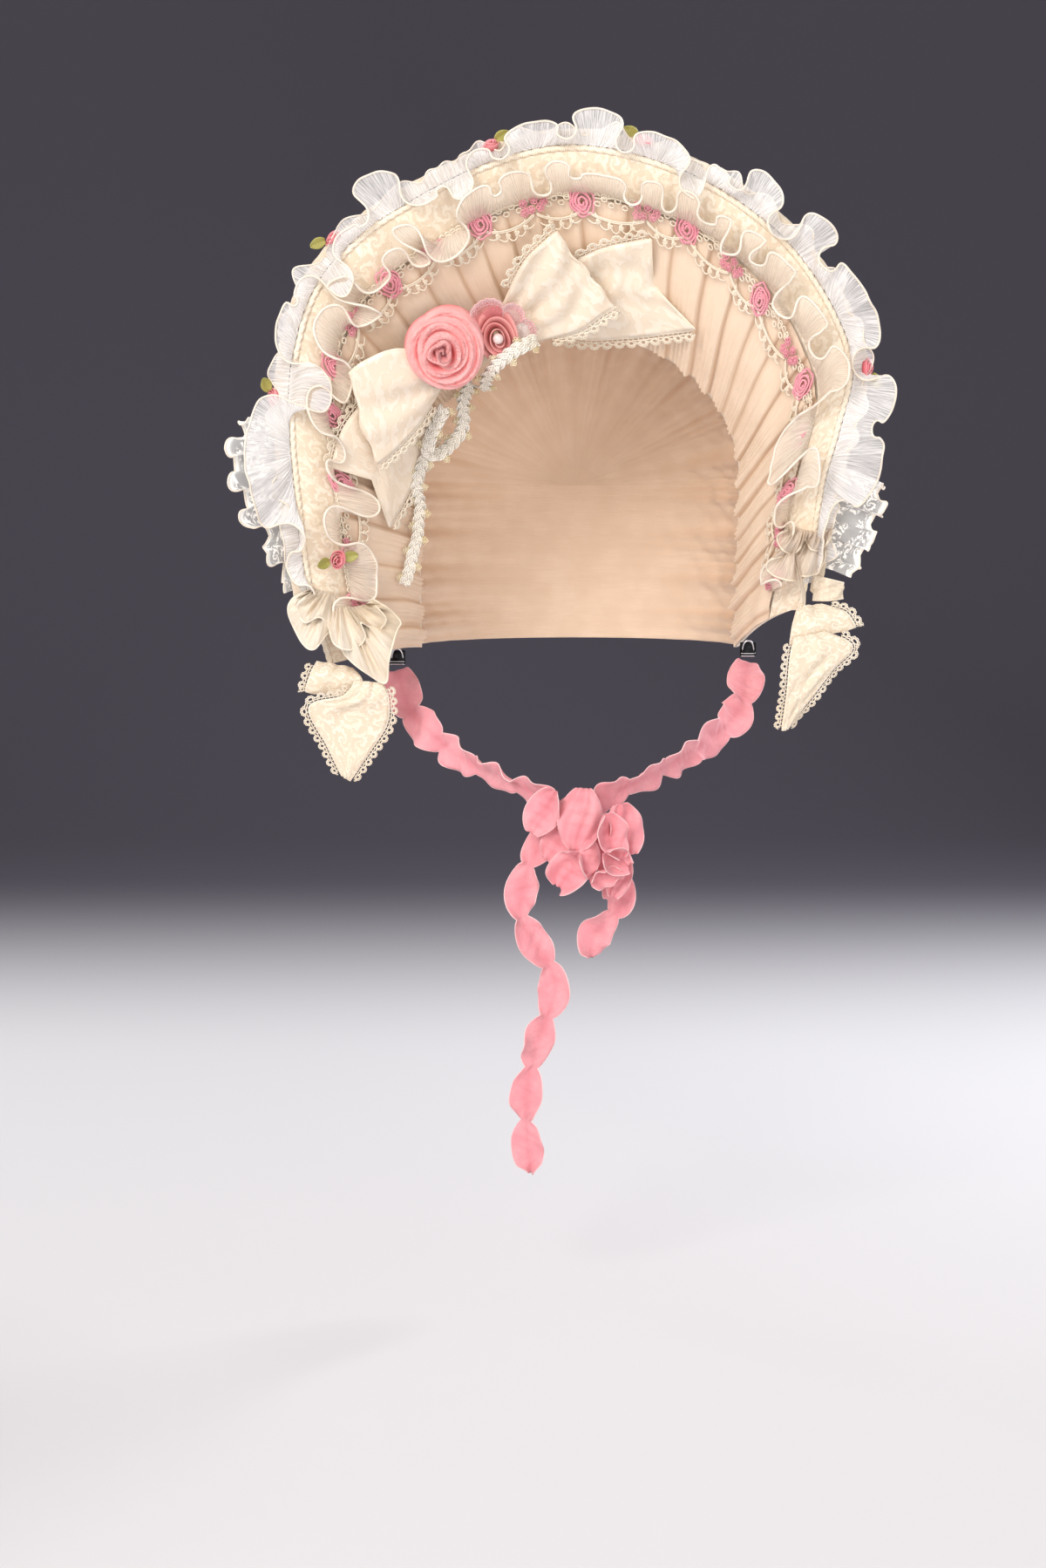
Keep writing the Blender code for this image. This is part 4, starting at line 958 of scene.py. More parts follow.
def makeRoseLace():
    look = roseLaceLook
    low, slope = look["low"], look["slant"]
    lines, knots = [], []
    stations = [row[0] for row in motifs]

    def sagAt(share):        # the scallop's line, from one motif to the next
        return low + (look["scallop"] - low) * np.sin(np.pi * share) ** 0.7

    for start, end in zip(stations, stations[1:]):
        span = end - start
        share = np.linspace(0, 1, 25)
        sag = sagAt(share)
        lines.append(np.stack([start + span * share, sag, np.zeros(25)], -1))
        lines.append(np.stack([start + span * share, sag - 0.9, np.full(25, 0.2)], -1))
        loops = max(int(round(span / 6.6)), 3)
        for number in range(loops):
            middle, joint = (number + 0.5) / loops, number / loops
            lines.append(dLoop(start + span * middle, sagAt(middle), look["loopWidth"], look["loopDepth"],
                               slope * math.cos(math.pi * middle)))
            if number:
                lean = math.sin(slope * math.cos(math.pi * joint))
                knots.append((start + span * joint - 1.4 * lean, sagAt(joint) + 2.2))
        chain = max(int(round((span - 13) / look["chain"])), 2)
        for number in range(chain):
            x = start + 6.5 + (span - 13) * (number + 0.5) / chain
            lines.append(circle(x, -0.6 + 1.3 * (-1) ** number, 1.6, 9, 0.2, 0.75))
            lines.append(dLoop(x, -2.4, 3.0, -2.0, 0.0, 7))
        foot = -2.4 + 0.5 * np.sin(np.linspace(0, 9, 15))
        lines.append(np.stack([np.linspace(start + 5, end - 5, 15), foot, np.zeros(15)], -1))
    for x, y in knots:        # star picots between the loops
        for turn in (0.0, 2.1, 4.2):
            lines.append(circle(x + 0.75 * math.cos(turn), y + 0.75 * math.sin(turn), 0.62, 7, 0.3))
    lace = joinMeshes("roseLace", threadsOn(lines, onLaceBand, look["thread"], 4), "creamThread")
    finishPiece(lace, "cream_lace", "rose_lace")

    roses, clusters = [], []
    flowers = ((-5.2, -2.2), (-1.8, 1.8), (0.8, -2.8), (3.6, 1.4), (6.0, -1.4), (-5.6, 2.4))
    dice = np.random.default_rng(81)

    def rounds(station, radius, angle, up):        # turns of thread round a rose's middle
        return np.stack([station + radius * np.cos(angle), 1.15 * radius * np.sin(angle), up], -1)

    for station, kind, _ in motifs:
        turn = dice.uniform(0, 6.28)
        if kind == "rose":
            angle = np.linspace(0, 2 * np.pi * 2.9, 64)
            radius = mix(0.5, 5.9, (angle / angle[-1]) ** 0.9) * (1 + 0.06 * np.sin(4 * angle))
            roses.append(rounds(station, radius, angle + turn, mix(1.5, 0.4, angle / angle[-1])))
            ring = np.linspace(0, 2 * np.pi, 40)
            for size, up in ((6.6, 0.0), (4.2, 0.3), (2.2, 0.8)):
                wave = size * (1 + 0.07 * np.sin(6 * ring + size))
                roses.append(rounds(station, wave, ring + turn, np.full(40, up)))
                roses[-1][-1] = roses[-1][0]
        else:
            for number, (x, y) in enumerate(flowers):
                for petal in range(5):
                    angle = turn + number + petal * 2 * np.pi / 5
                    away, beside = 1.3 * math.cos(angle), 1.3 * math.sin(angle)
                    clusters.append(circle(station + x + away, y + beside, 0.85, 7, 0.5 + 0.15 * petal))
                clusters.append(circle(station + x, y, 0.45, 6, 1.2))
    for name, shapes, thread, sides in (("laceRoses", roses, look["roseThread"], 5),
                                        ("laceFlowers", clusters, look["flowerThread"], 4)):
        finishPiece(joinMeshes(name, threadsOn(shapes, onLaceBand, thread, sides), "roseThread"), "pink_lace")


makeRoseLace()
print("rose lace ready")

# Damask bow. Rows: x and z of one edge, x and z of the other edge, height above the brim

bowTables = {
    "bow_left_loop": [(-72, -9, -70, -25, 13.5), (-92, -7, -82, -44, 18.5), (-108, -13, -95, -58, 16.5),
                      (-116, -19, -103, -64, 13.5), (-109, -15, -97, -57, 9.9), (-90, -11, -83, -40, 9.7),
                      (-76, -12, -73, -24, 9.7)],
    "bow_left_tail": [(-83, -22, -76, -33, 7.6), (-102, -27, -77, -55, 7.6), (-119, -45, -88, -78, 7.6),
                      (-126, -66, -98, -97, 7.6)],
    "bow_right_loop": [(-39, 14, -25, -2, 11.4), (-28, 34, -1, 3, 16.4), (-17, 45, 12, 11, 15.0),
                       (-11, 50, 19, 15, 12.0), (-17, 43, 11, 12, 8.8), (-27, 31, -2, 5, 8.5),
                       (-34, 14, -24, 2, 8.5)],
    "bow_right_tail": [(-24, 15, -18, 2, 6.2), (-4, 35, 6, 0, 6.2), (14, 43, 32, 1, 6.2),
                       (36, 47, 60, 4, 6.2)],
}
bowLook = {"thickness": 1.0, "binding": 0.55, "trim": 1.0, "notch": 11.0, "wrinkle": 1.7, "puff": 3.6}


def bowSurface(table, notch, seed):
    rows = np.array(table, float)
    first, second = (overBrim(*rows[:, columns].T) for columns in ((0, 1, 4), (2, 3, 4)))
    return clothBetween(first, second, notch, seed, bowLook)


def clothBetween(first, second, notch, seed, look):        # a creased, puffed strip between two edges
    last = len(first) - 1
    centre, before = (first[last] + second[last]) / 2, (first[last - 1] + second[last - 1]) / 2
    back = unit(before - centre) * notch

    def place(u, v):
        start, end = throughRows(first, u * last), throughRows(second, u * last)
        point = mix(start, end, v[:, None])
        ahead, behind = (throughRows(first, np.clip(u * last + step, 0, last)) for step in (0.04, -0.04))
        normal = unit(np.cross(ahead - behind, end - start))
        puff = look["puff"] * np.sin(np.pi * v) ** 0.7 * (0.4 + 0.6 * np.abs(np.cos(np.pi * u)))
        lengthwise = 0.6 * drift(v + 0.5 * u * np.sin(3 * u), seed, 1.2, 3.2) * (0.4 + np.exp(-3 * u))
        crease = look["wrinkle"] * (lengthwise + 0.5 * drift(u + 0.4 * v, seed + 1, 1.0, 3.5))
        point = point + normal * (puff * 0.5 + crease * np.sin(np.pi * v) ** 0.5)[:, None]
        return point + back * (smooth((u - 0.55) / 0.45) * (1 - np.abs(2 * v - 1)))[:, None]
    return place


def edgeSurface(points, inward):        # a flat band beside an edge: along it, out from it, up from the cloth
    length, tangent = runLengths(points), tangents(points)
    outward = unit(-inward - tangent * np.sum(-inward * tangent, axis=1)[:, None])
    normal = np.cross(tangent, outward)
    normal = normal * np.sign(-normal[:, 1:2] + 1e-6)

    def surface(along, out, up):
        spot, away, face = (np.stack([np.interp(along, length, rows[:, k]) for k in range(3)], -1)
                            for rows in (points, outward, normal))
        face = unit(face)
        return spot + unit(away) * out[:, None] + face * up[:, None], face
    return surface, length[-1]


def crochetLines(total, flower, size):        # ladder, chain and little flower rings with picots
    lines = []
    total, flower = total / size, flower / size
    steps = max(int(total / 1.2), 6)
    along = np.linspace(0.3, total - 0.3, steps)
    lines.append(np.stack([along, np.full(steps, 0.5), np.zeros(steps)], -1))
    lines.append(np.stack([along, 2.1 + 0.25 * np.sin(along * 2.2), np.zeros(steps)], -1))
    for x in np.arange(1.2, total - 1, 2.7):
        lines.append(np.array([(x, 0.4, 0), (x + 0.3, 1.3, 0.25), (x + 0.2, 2.2, 0)]))
    count = max(int(round(total / flower)), 1)
    for number in range(count):
        x = total * (number + 0.5) / count
        lines.append(circle(x, 3.5, 1.35, 10, 0.2))
        for turn in (0.25, 0.95, 1.57, 2.2, 2.9):
            lines.append(circle(x + 2.0 * math.cos(turn), 3.5 + 2.0 * math.sin(turn), 0.62, 7, 0.3))
        lines.append(dLoop(x + 0.5 * total / count, 2.1, total / count - 3.4, 1.5, 0.0, 7))
    return [line * size for line in lines]


def trimEdge(name, place, uLow, uHigh, v, inwardV, size):        # crochet along one edge of a strip
    u = np.linspace(uLow, uHigh, 60)
    edge = place(u, np.full(60, v))
    surface, total = edgeSurface(edge, place(u, np.full(60, inwardV)) - edge)
    threads = threadsOn(crochetLines(total, 6.4 * size, size), surface, 0.4 * size, 4)
    return finishPiece(joinMeshes(name, threads, "creamThread"), "cream_lace")


# A damask strip. Rows of bindings: label, u and v; of trims: label, range of u, v of the edge, v inside it


def makeStrip(node, grid, place, material, pattern, look, bindings, trims):
    name = camel(node)
    cloth = layCloth(name, grid, place, material, pattern)
    area = thicken(cloth, look["thickness"])
    for label, u, v in bindings:
        cord = layCord(name + label, place(u, v), look["binding"], "creamThread", 5)
        finishPiece(cord, "cream_cord")
    for label, *row in trims:
        trimEdge(name + label, place, *row, look["trim"])
    finishPiece(cloth, "cream_damask", node)


def makeBow():
    fine, low, high = np.linspace(0, 1, 220), np.zeros(220), np.ones(220)
    for number, (node, table) in enumerate(bowTables.items()):
        tail = "tail" in node
        place = bowSurface(table, bowLook["notch"] if tail else 0.0, 90 + 5 * number)
        bindings = [("BindingA", fine, low), ("BindingB", fine, high)]
        trims = [("Trim", 0.08, 0.5, 1.0, 0.7)]
        if tail:
            bindings.append(("BindingEnd", np.ones(120), np.linspace(0, 1, 120)))
            trims = [("TrimA", 0.25, 0.98, 0.0, 0.3), ("TrimB", 0.1, 0.98, 1.0, 0.7)]
        elif "right" in node:
            trims.append(("TrimTop", 0.08, 0.5, 0.0, 0.3))
        width = polyLength(place(np.full(40, 0.4), np.linspace(0, 1, 40)))
        makeStrip(node, (24 * (len(table) - 1), 24), place, "creamDamask", (90 if tail else 130, 42), bowLook,
                  bindings, trims)


makeBow()
print("bow ready")

# Roses, pearl and lace petals

muslinLook = {"place": (-68.2, -5.6, 17.7), "radii": (22.0, 24.4), "height": 14.5, "turns": 5.3,
              "facing": 0.5, "heart": (-2.6, 0.4), "rings": (0.04, 0.86), "band": 0.31, "under": 0.62,
              "creases": 128, "grid": (920, 20)}
satinLook = {"place": (-41.3, 0.8, 14.2), "radii": (11.0, 14.2), "height": 9.5, "turns": 4.2, "facing": 0.5,
             "thickness": 0.5, "lip": 0.3, "pearl": 2.7, "rings": (0.11, 0.86), "grid": (520, 13)}


def roseBasis(x, z, facing):        # as brimBasis, with its face turned a share of the way to the front
    side, _, normal = brimBasis(x, z).T
    face = unit(mix(normal, np.array([0.0, -1.0, 0.0]), facing))
    side = unit(side - face * (side @ face))
    return np.stack([side, np.cross(face, side), face], axis=1)


def makeMuslinRose():        # one soft roll of muslin wound from the middle outward
    look = muslinLook
    centre = overBrim(*look["place"])[0]
    basis = roseBasis(*look["place"][:2], look["facing"])

    def place(u, v):
        angle = 2 * np.pi * look["turns"] * u + 0.5
        wander = 0.055 * np.sin(1.62 * angle + 0.6) + 0.035 * np.sin(2.71 * angle + 1.9)
        wander = wander + 0.02 * drift(u, 101, 9, 20)
        ring = mix(*look["rings"], u ** 0.92) + wander * smooth(u * 4) * (1 - 0.7 * u)
        tuck = smooth((u - 0.94) / 0.06)        # the outer end is tucked under
        crest = look["height"] * (mix(1.0, 0.58, u ** 1.2) + 0.075 * drift(u, 102, 3, 8))
        across = v - look["under"]        # the inner edge lies under the turn before it
        folds = np.sin(2 * np.pi * (2.8 * v + 1.1 * drift(u, 104, 2, 6))) * np.sin(np.pi * v)
        size = ring + look["band"] * across * (0.8 + 0.4 * u) * (1 - 0.5 * tuck) + 0.014 * folds
        size = np.maximum(size, 0.004) * (1 - 0.1 * tuck)
        slope = np.where(v < 0.6, 0.62 * (1 - v / 0.6) ** 1.6, 0.95 * np.maximum((v - 0.6) / 0.4, 0) ** 2.2)
        rise = crest * (1 - slope * mix(0.75, 1.0, u)) * (1 - 0.35 * tuck) + 0.8 * folds
        crinkle = np.sin(2 * np.pi * u * look["creases"] + 6 * drift(v + 4 * u, 105, 1, 3))
        rise = rise + 0.32 * crinkle * np.sin(np.pi * v)
        shift = (1 - u)[:, None] * np.array(look["heart"])
        wide, high = look["radii"]
        x, y = wide * size * np.cos(angle) + shift[:, 0], high * size * np.sin(angle) + shift[:, 1]
        return centre + np.stack([x, y, rise], -1) @ basis.T

    # The "fold" mark paints shade along both edges of the roll, where they sit low in the grooves between the
    # turns.
    rose = layCloth("muslinRose", look["grid"], place, "pinkMuslin", (360, 12),
                    fold=lambda u, v: smooth((v - 0.12) / 0.36) * smooth((1.02 - v) / 0.12))
    polyLength(lineAt(place, 600, 0.5))
    finishPiece(rose, "pink_muslin", "muslin_rose")


def makeSatinRose():        # oval rings of satin, pointed at the top, round a pearl
    look = satinLook
    centre = overBrim(*look["place"])[0]
    basis = roseBasis(*look["place"][:2], look["facing"])

    def place(u, v):
        angle = 2 * np.pi * look["turns"] * u + 2.0
        point = 0.15 * np.maximum(np.cos(angle - 1.35), 0) ** 3 + 0.07 * np.sin(1.7 * angle + 1.0)
        ring = mix(*look["rings"], u ** 0.85) * (1 + point)
        ring = ring * mix(0.5 * smooth(u * 5), 1.10 + 0.12 * u, v ** 0.9)
        rise = look["height"] * v ** 0.9 * mix(0.95, 0.72, u) + 0.5 * np.sin(1.6 * angle) * v
        rise = rise + 0.3 * drift(u, 112, 10, 20) * v - 1.6 * u * v ** 4
        across, up = look["radii"]
        local = np.stack([across * ring * np.cos(angle), up * ring * np.sin(angle), rise], -1)
        return centre + local @ basis.T

    # The "fold" mark paints shade towards the base of each ring, deep inside the rose.
    rose = layCloth("satinRose", look["grid"], place, "dustySatin", (190, 11),
                    fold=lambda u, v: smooth(v * 1.5 - 0.25))
    area = thicken(rose, look["thickness"])
    edge = lineAt(place, 700)
    lip = layCord("satinRoseEdge", edge, look["lip"], "dustySatin", 5)
    mark(lip, "fold", np.ones(len(lip.data.vertices)))
    polyLength(edge)
    finishPiece(rose, "pink_satin", "satin_rose")
    finishPiece(lip, "pink_satin")
    makePearl(centre + basis[:, 2] * 9.2 + basis[:, 1] * 1.3)


def makePearl(spot):        # in the heart of the small rose
    deselectAll()
    bpy.ops.mesh.primitive_uv_sphere_add(segments=48, ring_count=24, radius=satinLook["pearl"] * mm)
    pearl = bpy.context.object
    pearl.name = pearl.data.name = "pearl"
    points = readPoints(pearl)
    writePoints(pearl, points * (1 + 0.012 * np.sin(points[:, 2:3] * 2600)) + spot * mm)
    bpy.ops.object.shade_smooth()
    tree, shader, spots = newMaterial("pearlShine")
    cloud = noise(tree, spots["Object"], 700.0)
    plugAll(tree, shader, {"Base Color": blendColours(tree, cloud, tone(220, 192, 190), tone(240, 220, 214)),
                           "Roughness": ramp(tree, cloud, 0.2, 0.8, 0.14, 0.3),
                           "Coat Weight": 0.6, "Coat Roughness": 0.08})
    chooseMaterial(pearl, "pearlShine")
    finishPiece(pearl, "white_pearl", "rose_pearl")


petalsLook = {"centre": (-41.0, -1.5), "inner": 8.0, "height": 14.5, "lift": 3.2, "loop": 1.05}
petalLobes = [  # middle angle, half span, reach, how white
    (112, 34, 19.5, 0.0), (56, 22, 19.0, 0.45), (16, 21, 19.5, 1.0),
]


def makeLacePetals():
    look = petalsLook
    middles, spans, reaches, whites = (np.array(column, float) for column in zip(*petalLobes))
    start, end = middles[0] + spans[0], middles[-1] - spans[-1]

    def outline(u):        # degrees round the rose, radius there, and how white the lace is
        degrees = mix(start, end, u)
        away = (degrees[:, None] - middles) / spans
        lobes = np.where(np.abs(away) < 1, reaches * (0.74 + 0.26 * np.sqrt(np.maximum(1 - away ** 2, 0))), 0)
        best = np.argmax(lobes, axis=1)
        radius = np.maximum(lobes.max(axis=1), 13.5)
        return degrees, radius * (1 + 0.02 * np.abs(np.sin(np.radians(degrees) * 18))), whites[best]

    def place(u, v):
        degrees, radius, _ = outline(u)
        angle, size = np.radians(degrees), mix(look["inner"], radius, v)
        height = look["height"] + look["lift"] * v ** 2 + 0.7 * np.sin(np.radians(degrees) * 5) * v
        x, z = look["centre"]
        return overBrim(x + size * np.cos(angle), z + size * np.sin(angle), height)

    def pink(u, v):
        return 1 - np.clip(outline(u)[2] + 0.7 * smooth((v - 0.86) / 0.08), 0, 1)

    petals = layCloth("lacePetals", (160, 16), place, "pinkLace", (52, 13), fold=pink)
    edge = layCord("lacePetalsEdge", lineAt(place, 400), 0.5, "whitePlait", 5)
    turn = np.linspace(0, 2 * np.pi, 9)[:-1, None]
    loops = []
    for count, share in ((44, 0.98), (32, 0.85)):        # rows of small embroidered rings
        for u in (np.arange(count) + 0.5) / count:
            spots = place(np.array([u, u + 0.004, u]), np.array([share, share, share - 0.05]))
            along, inward = unit(spots[1] - spots[0]), unit(spots[2] - spots[0])
            ring = spots[0] + look["loop"] * (np.cos(turn) * along + np.sin(turn) * inward)
            loops.append(cordMesh(ring - np.array([0, 0.5, 0]), 0.27, 4, True))
    rings = joinMeshes("lacePetalsRings", loops, "paleEdge")
    finishPiece(petals, "pink_lace", "lace_petals")
    finishPiece(edge, "cream_cord")
    finishPiece(rings, "cream_cord")


makeMuslinRose()
makeSatinRose()
makeLacePetals()
print("roses ready")

# Braids: three strands of fine white cords plaited together, with a tuft in each hollow. Rows: x, z and
# height above the brim

braidRoutes = {
    "Cross": [(-21, -1.5, 21.0), (-24, -3, 24.0), (-28.4, -5.3, 26.5), (-33.3, -8.1, 27.5),
              (-40.9, -13.9, 27.0), (-46.1, -19.7, 24.0), (-48, -26.1, 20.0)],
    "Loop": [(-54.6, -22.4, 15.6), (-58, -32.2, 13.0), (-59.4, -44.5, 12.4), (-65, -53, 12.4),
             (-72, -58.5, 12.8), (-77.5, -58, 13.6), (-76.5, -51, 14.0), (-73.5, -44, 14.0),
             (-68, -35, 14.4)],
    "Tail": [(-79, -59.5, 11.6), (-82, -67.2, 10.4), (-84, -75, 9.6), (-82.4, -85.5, 9.0), (-83.2, -92, 8.6),
             (-84, -102, 8.4), (-86.4, -110.5, 8.2), (-88.4, -119.4, 8.0), (-91, -128, 8.0)],
}
braidLook = {"swing": 2.1, "wave": 14.5, "over": 1.0, "strands": 3, "cords": 3, "pitch": 1.12, "strand": 0.62,
             "diameter": 0.0086, "tuft": 3.9, "rings": 12, "step": 0.45}


def makeBraid(name, shrink):
    look, step = braidLook, braidLook["step"]
    route = makeRoute(overBrim(*np.array(braidRoutes[name], float).T))
    steps = int(route["total"] / step)
    distance = np.linspace(0, route["total"], steps)
    centre = alongRoute(route, distance)
    tangent = tangents(centre)
    side = unit(np.cross(tangent, np.tile([0.1, -1.0, 0.0], (steps, 1))))
    front = np.cross(side, tangent)
    meshes = []
    for strand in range(look["strands"]):
        turn = 2 * np.pi * (distance / look["wave"] + strand / look["strands"])
        sway, over = look["swing"] * np.sin(turn), look["over"] * np.sin(2 * turn)
        band = centre + shrink * (side * sway[:, None] + front * over[:, None])
        flat = unit(np.cross(tangents(band), front))
        for number in range(look["cords"]):
            offset = (number - 0.5 * (look["cords"] - 1)) * look["pitch"]
            meshes.append(cordMesh(band + shrink * flat * offset, shrink * look["strand"], 5))
    plait = joinMeshes(f"braid{name}", meshes, "whitePlait")
    ring = circle(0, 0, 0.8, 7)[:-1]
    tufts = []
    for number, spotAt in enumerate(np.arange(0.25, route["total"] / look["wave"], 0.5)):
        index = min(int(spotAt * look["wave"] / step), steps - 1)
        ahead, beside = tangent[index], side[index]
        hollow = -1 if number % 2 == 0 else 1
        spot = centre[index] + beside * hollow * shrink * look["tuft"] + 0.3 * front[index]
        for turn in range(look["rings"]):
            spread, bend, tilt = (0.3, 1.1, 1.8)[turn % 3], turn * 2.4, turn * 1.3
            place = spot + spread * (math.cos(bend) * ahead + math.sin(bend) * beside)
            across = math.cos(tilt) * beside + math.sin(tilt) * front[index]
            tufts.append(cordMesh(place + ring[:, :1] * ahead + ring[:, 1:2] * across, 0.3, 4, True))
    fringe = joinMeshes(f"braid{name}Tufts", tufts, "goldTuft")
    finishPiece(plait, "cream_cord", "braid_" + name.lower())
    finishPiece(fringe, "cream_cord")


makeBraid("Cross", 1.0)
makeBraid("Loop", 1.0)
makeBraid("Tail", 0.9)
print("braids ready")

# Ready-made satin rosebuds. Rows: station, distance inside the rim, height, turn of the leaves in degrees

rosebuds = [(61, 10, 9.5, 90), (143, -11.5, -4.2, 30), (222, -11.5, -4.2, 150), (308, -11, -4.2, 20),
            (378, -11, -4.2, 160), (533, -11, -4.0, 30)]
budLook = {"radius": 5.2, "height": 4.4, "thickness": 0.4, "leafLength": 8.0, "leafWidth": 6.0,
           "leafThickness": 0.35}


def makeRosebuds():
    look = budLook
    for number, (station, fromRim, height, turn) in enumerate(rosebuds, 1):
        point, along, outward, normal = (rows[0] for rows in brimFrames([station], [fromRim]))
        centre = point + normal * height
        basis = np.stack([along, outward, normal] if fromRim > 0 else [along, -normal, outward], axis=1)

        def bud(u, v):
            angle = 2 * np.pi * 3.1 * u
            ring = look["radius"] * mix(0.16, 0.86, u ** 0.8) * mix(0.78, 1.14, v ** 1.5)
            ring = ring * (1 + 0.07 * np.sin(2.5 * angle))
            rise = look["height"] * (v * mix(1.0, 0.62, u) - 0.45) + 0.3 * np.sin(1.9 * angle) * v
            return centre + np.stack([ring * np.cos(angle), ring * np.sin(angle), rise], -1) @ basis.T

        # The "fold" mark paints shade towards the base of the bud's turns.
        rose = layCloth(f"rosebud{number}", (120, 6), bud, "rosebudSatin", (90, 6),
                        fold=lambda u, v: smooth(1.4 * v - 0.1))
        area = thicken(rose, look["thickness"])
        polyLength(lineAt(bud, 200)) * 0.8
        finishPiece(rose, "pink_satin", f"rosebud_{number}")

        for side, spread in (("A", 0.0), ("B", math.pi)):
            angle = math.radians(turn) + spread
            direction = along * math.cos(angle) + outward * math.sin(angle)
            across = np.cross(normal, direction)

            def leaf(u, v):
                half = look["leafWidth"] * 0.5 * np.sin(np.pi * mix(0.10, 0.97, u)) ** 0.7
                offset = 2 * v - 1
                lift = 0.9 * np.abs(offset) + 1.6 * u ** 2
                return (centre + direction * (look["radius"] * 0.75 + look["leafLength"] * u)[:, None]
                        + across * (half * offset)[:, None] + normal * (lift - 1)[:, None])

            green = layCloth(f"rosebudLeaf{number}{side}", (16, 8), leaf, "leafSatin", (9, 6))
            thicken(green, look["leafThickness"])
            finishPiece(green, "green_leaf", *([f"rosebud_leaf_{number}"] if side == "A" else []))


makeRosebuds()
print("rosebuds ready")

# Lower ends. Rows: x, y and z of one edge, then of the other edge

endTables = {
    "side_loop_left": [(-136, -38, -167, -118, -34, -171), (-139, -42, -173, -113, -40, -176),
                       (-142, -38, -183, -111, -35, -187), (-137, -32, -175, -114, -29, -178),
                       (-134, -32, -169, -119, -29, -173)],
    "side_tail_left": [(-116, -42, -177, -102, -40, -178), (-122, -44, -185, -99, -41, -186),
                       (-140, -42, -191, -100, -36, -200), (-131, -36, -212, -110, -34, -216),
                       (-124, -33, -228, -120, -32, -231)],
    "side_loop_right": [(116, -38, -139, 128, -38, -137), (113, -43, -148, 140, -43, -141),
                        (112, -40, -158, 146, -40, -149), (114, -34, -150, 141, -34, -143),
                        (117, -33, -142, 131, -33, -140)],
    "side_tail_right": [(114, -44.4, -154, 130, -43.4, -151), (112, -45.4, -164, 144, -43.4, -159),
                        (111, -42, -181, 134, -40, -172), (110, -37, -194, 121, -36, -190),
                        (109, -34, -204, 112, -33, -203)],
    "side_tab_right": [(124, -38, -122, 124, -36, -135), (132, -41, -124, 132, -39, -135),
                       (140, -38, -126, 140, -37, -134)],
}
endRuffles = {  # x and z of the hem, of the seam, and of the hem of the upper layer
    "end_ruffle_left": {
        "hem": [(-139, -129), (-148, -134), (-150, -142), (-144, -156), (-137, -160), (-128, -151),
                (-121, -163), (-109, -173), (-100, -178), (-98, -166), (-94, -151), (-92, -146),
                (-98, -139), (-106, -134)],
        "seam": [(-137, -128), (-128, -132), (-119, -138), (-111, -137)],
        "over": [(-138, -131), (-145, -137), (-142, -146), (-134, -143), (-130, -147), (-126, -157),
                 (-117, -160), (-110, -154), (-112, -146), (-104, -150), (-99, -144), (-105, -137)],
    },
    "end_ruffle_right": {
        "hem": [(126, -99), (129, -110), (127, -118), (120, -122), (113, -120), (110, -114),
                (106, -112), (100, -114), (99, -118), (103, -122), (109, -124), (117, -125),
                (119, -129), (118, -139)],
        "seam": [(133, -97), (124, -98), (116, -97), (108, -94)],
        "over": [(131, -101), (127, -108), (121, -108), (118, -103), (113, -110), (106, -108),
                 (104, -101), (109, -98)],
    },
}
endRuffleLook = {"hemY": -46, "seamY": -40, "bulge": 6.0, "flutter": 3.0, "gathers": 13, "folds": 2.2,
                 "forward": 5.0, "hem": 0.6}
sideLook = {"thickness": 0.9, "binding": 0.5, "trim": 0.78, "puff": 1.2, "wrinkle": 0.8}


def makeEnds():
    fine, low, high = np.linspace(0, 1, 240), np.zeros(240), np.ones(240)
    for number, (node, table) in enumerate(endTables.items()):
        rows = np.array(table, float)
        place = clothBetween(rows[:, :3], rows[:, 3:], 0.0, 120 + 4 * number, sideLook)
        trims = []
        if "tail" in node:
            trims = [("TrimA", 0.12, 0.97, 1.0, 0.7), ("TrimB", 0.12, 0.97, 0.0, 0.3)]
        if "loop" in node:
            trims = [("TrimTop", 0.1, 0.6, *((0.0, 0.3) if "left" in node else (1.0, 0.7)))]
        width = max(polyLength(place(np.full(30, 0.5), np.linspace(0, 1, 30))), 11)
        makeStrip(node, (20 * (len(table) - 1), 22), place, "sideDamask", (80, 38), sideLook,
                  [("Hem", fine, high), ("HemOther", fine, low)], trims)


def makeEndRuffle(node, seed, over=False):        # a short gathered ruffle with a looped hem
    look, shape = endRuffleLook, endRuffles[node]
    forward = look["forward"] if over else 0.0
    hem = makeRoute([(x, look["hemY"] - forward, z) for x, z in shape["over" if over else "hem"]], 24)
    seam = makeRoute([(x, look["seamY"] - 0.4 * forward, z) for x, z in shape["seam"]], 24)

    def place(u, v):
        point = mix(alongRoute(seam, seam["total"] * u), alongRoute(hem, hem["total"] * u), v[:, None])
        wave = look["flutter"] * np.sin(2 * np.pi * u * 4.5 + seed) * v
        wave = wave + 0.5 * drift(u, seed, 14, 30) * np.sin(np.pi * v * 0.9)
        sway = 1.6 * drift(u, seed + 1, 3, 6)
        folds = look["folds"] * np.sin(2 * np.pi * u * look["gathers"] + sway + 1.5 * v)
        folds = folds * np.sin(np.pi * np.clip(v, 0, 1)) ** 0.6 * (1 - 0.55 * v)
        point[:, 1] -= look["bulge"] * np.sin(np.pi * v) ** 0.8 + wave + folds
        return point

    material = "goldChiffon" if "left" in node else "creamChiffon"
    makeFlounce(camel(node) + ("Over" if over else ""), (340, 20), place, material, (150, 36),
                lambda u, v: 0.55 + 0.4 * (1 - v), (500, look["hem"], 5, "creamThread"), "cream_chiffon",
                *([] if over else [node]), width=hem["total"])


makeEnds()
for endNode, endSeed in (("end_ruffle_left", 131), ("end_ruffle_right", 137)):
    makeEndRuffle(endNode, endSeed)
    makeEndRuffle(endNode, endSeed + 20, over=True)
print("lower ends ready")

# Petal ribbon ties. Rows: x, y, z, roll of the face in degrees

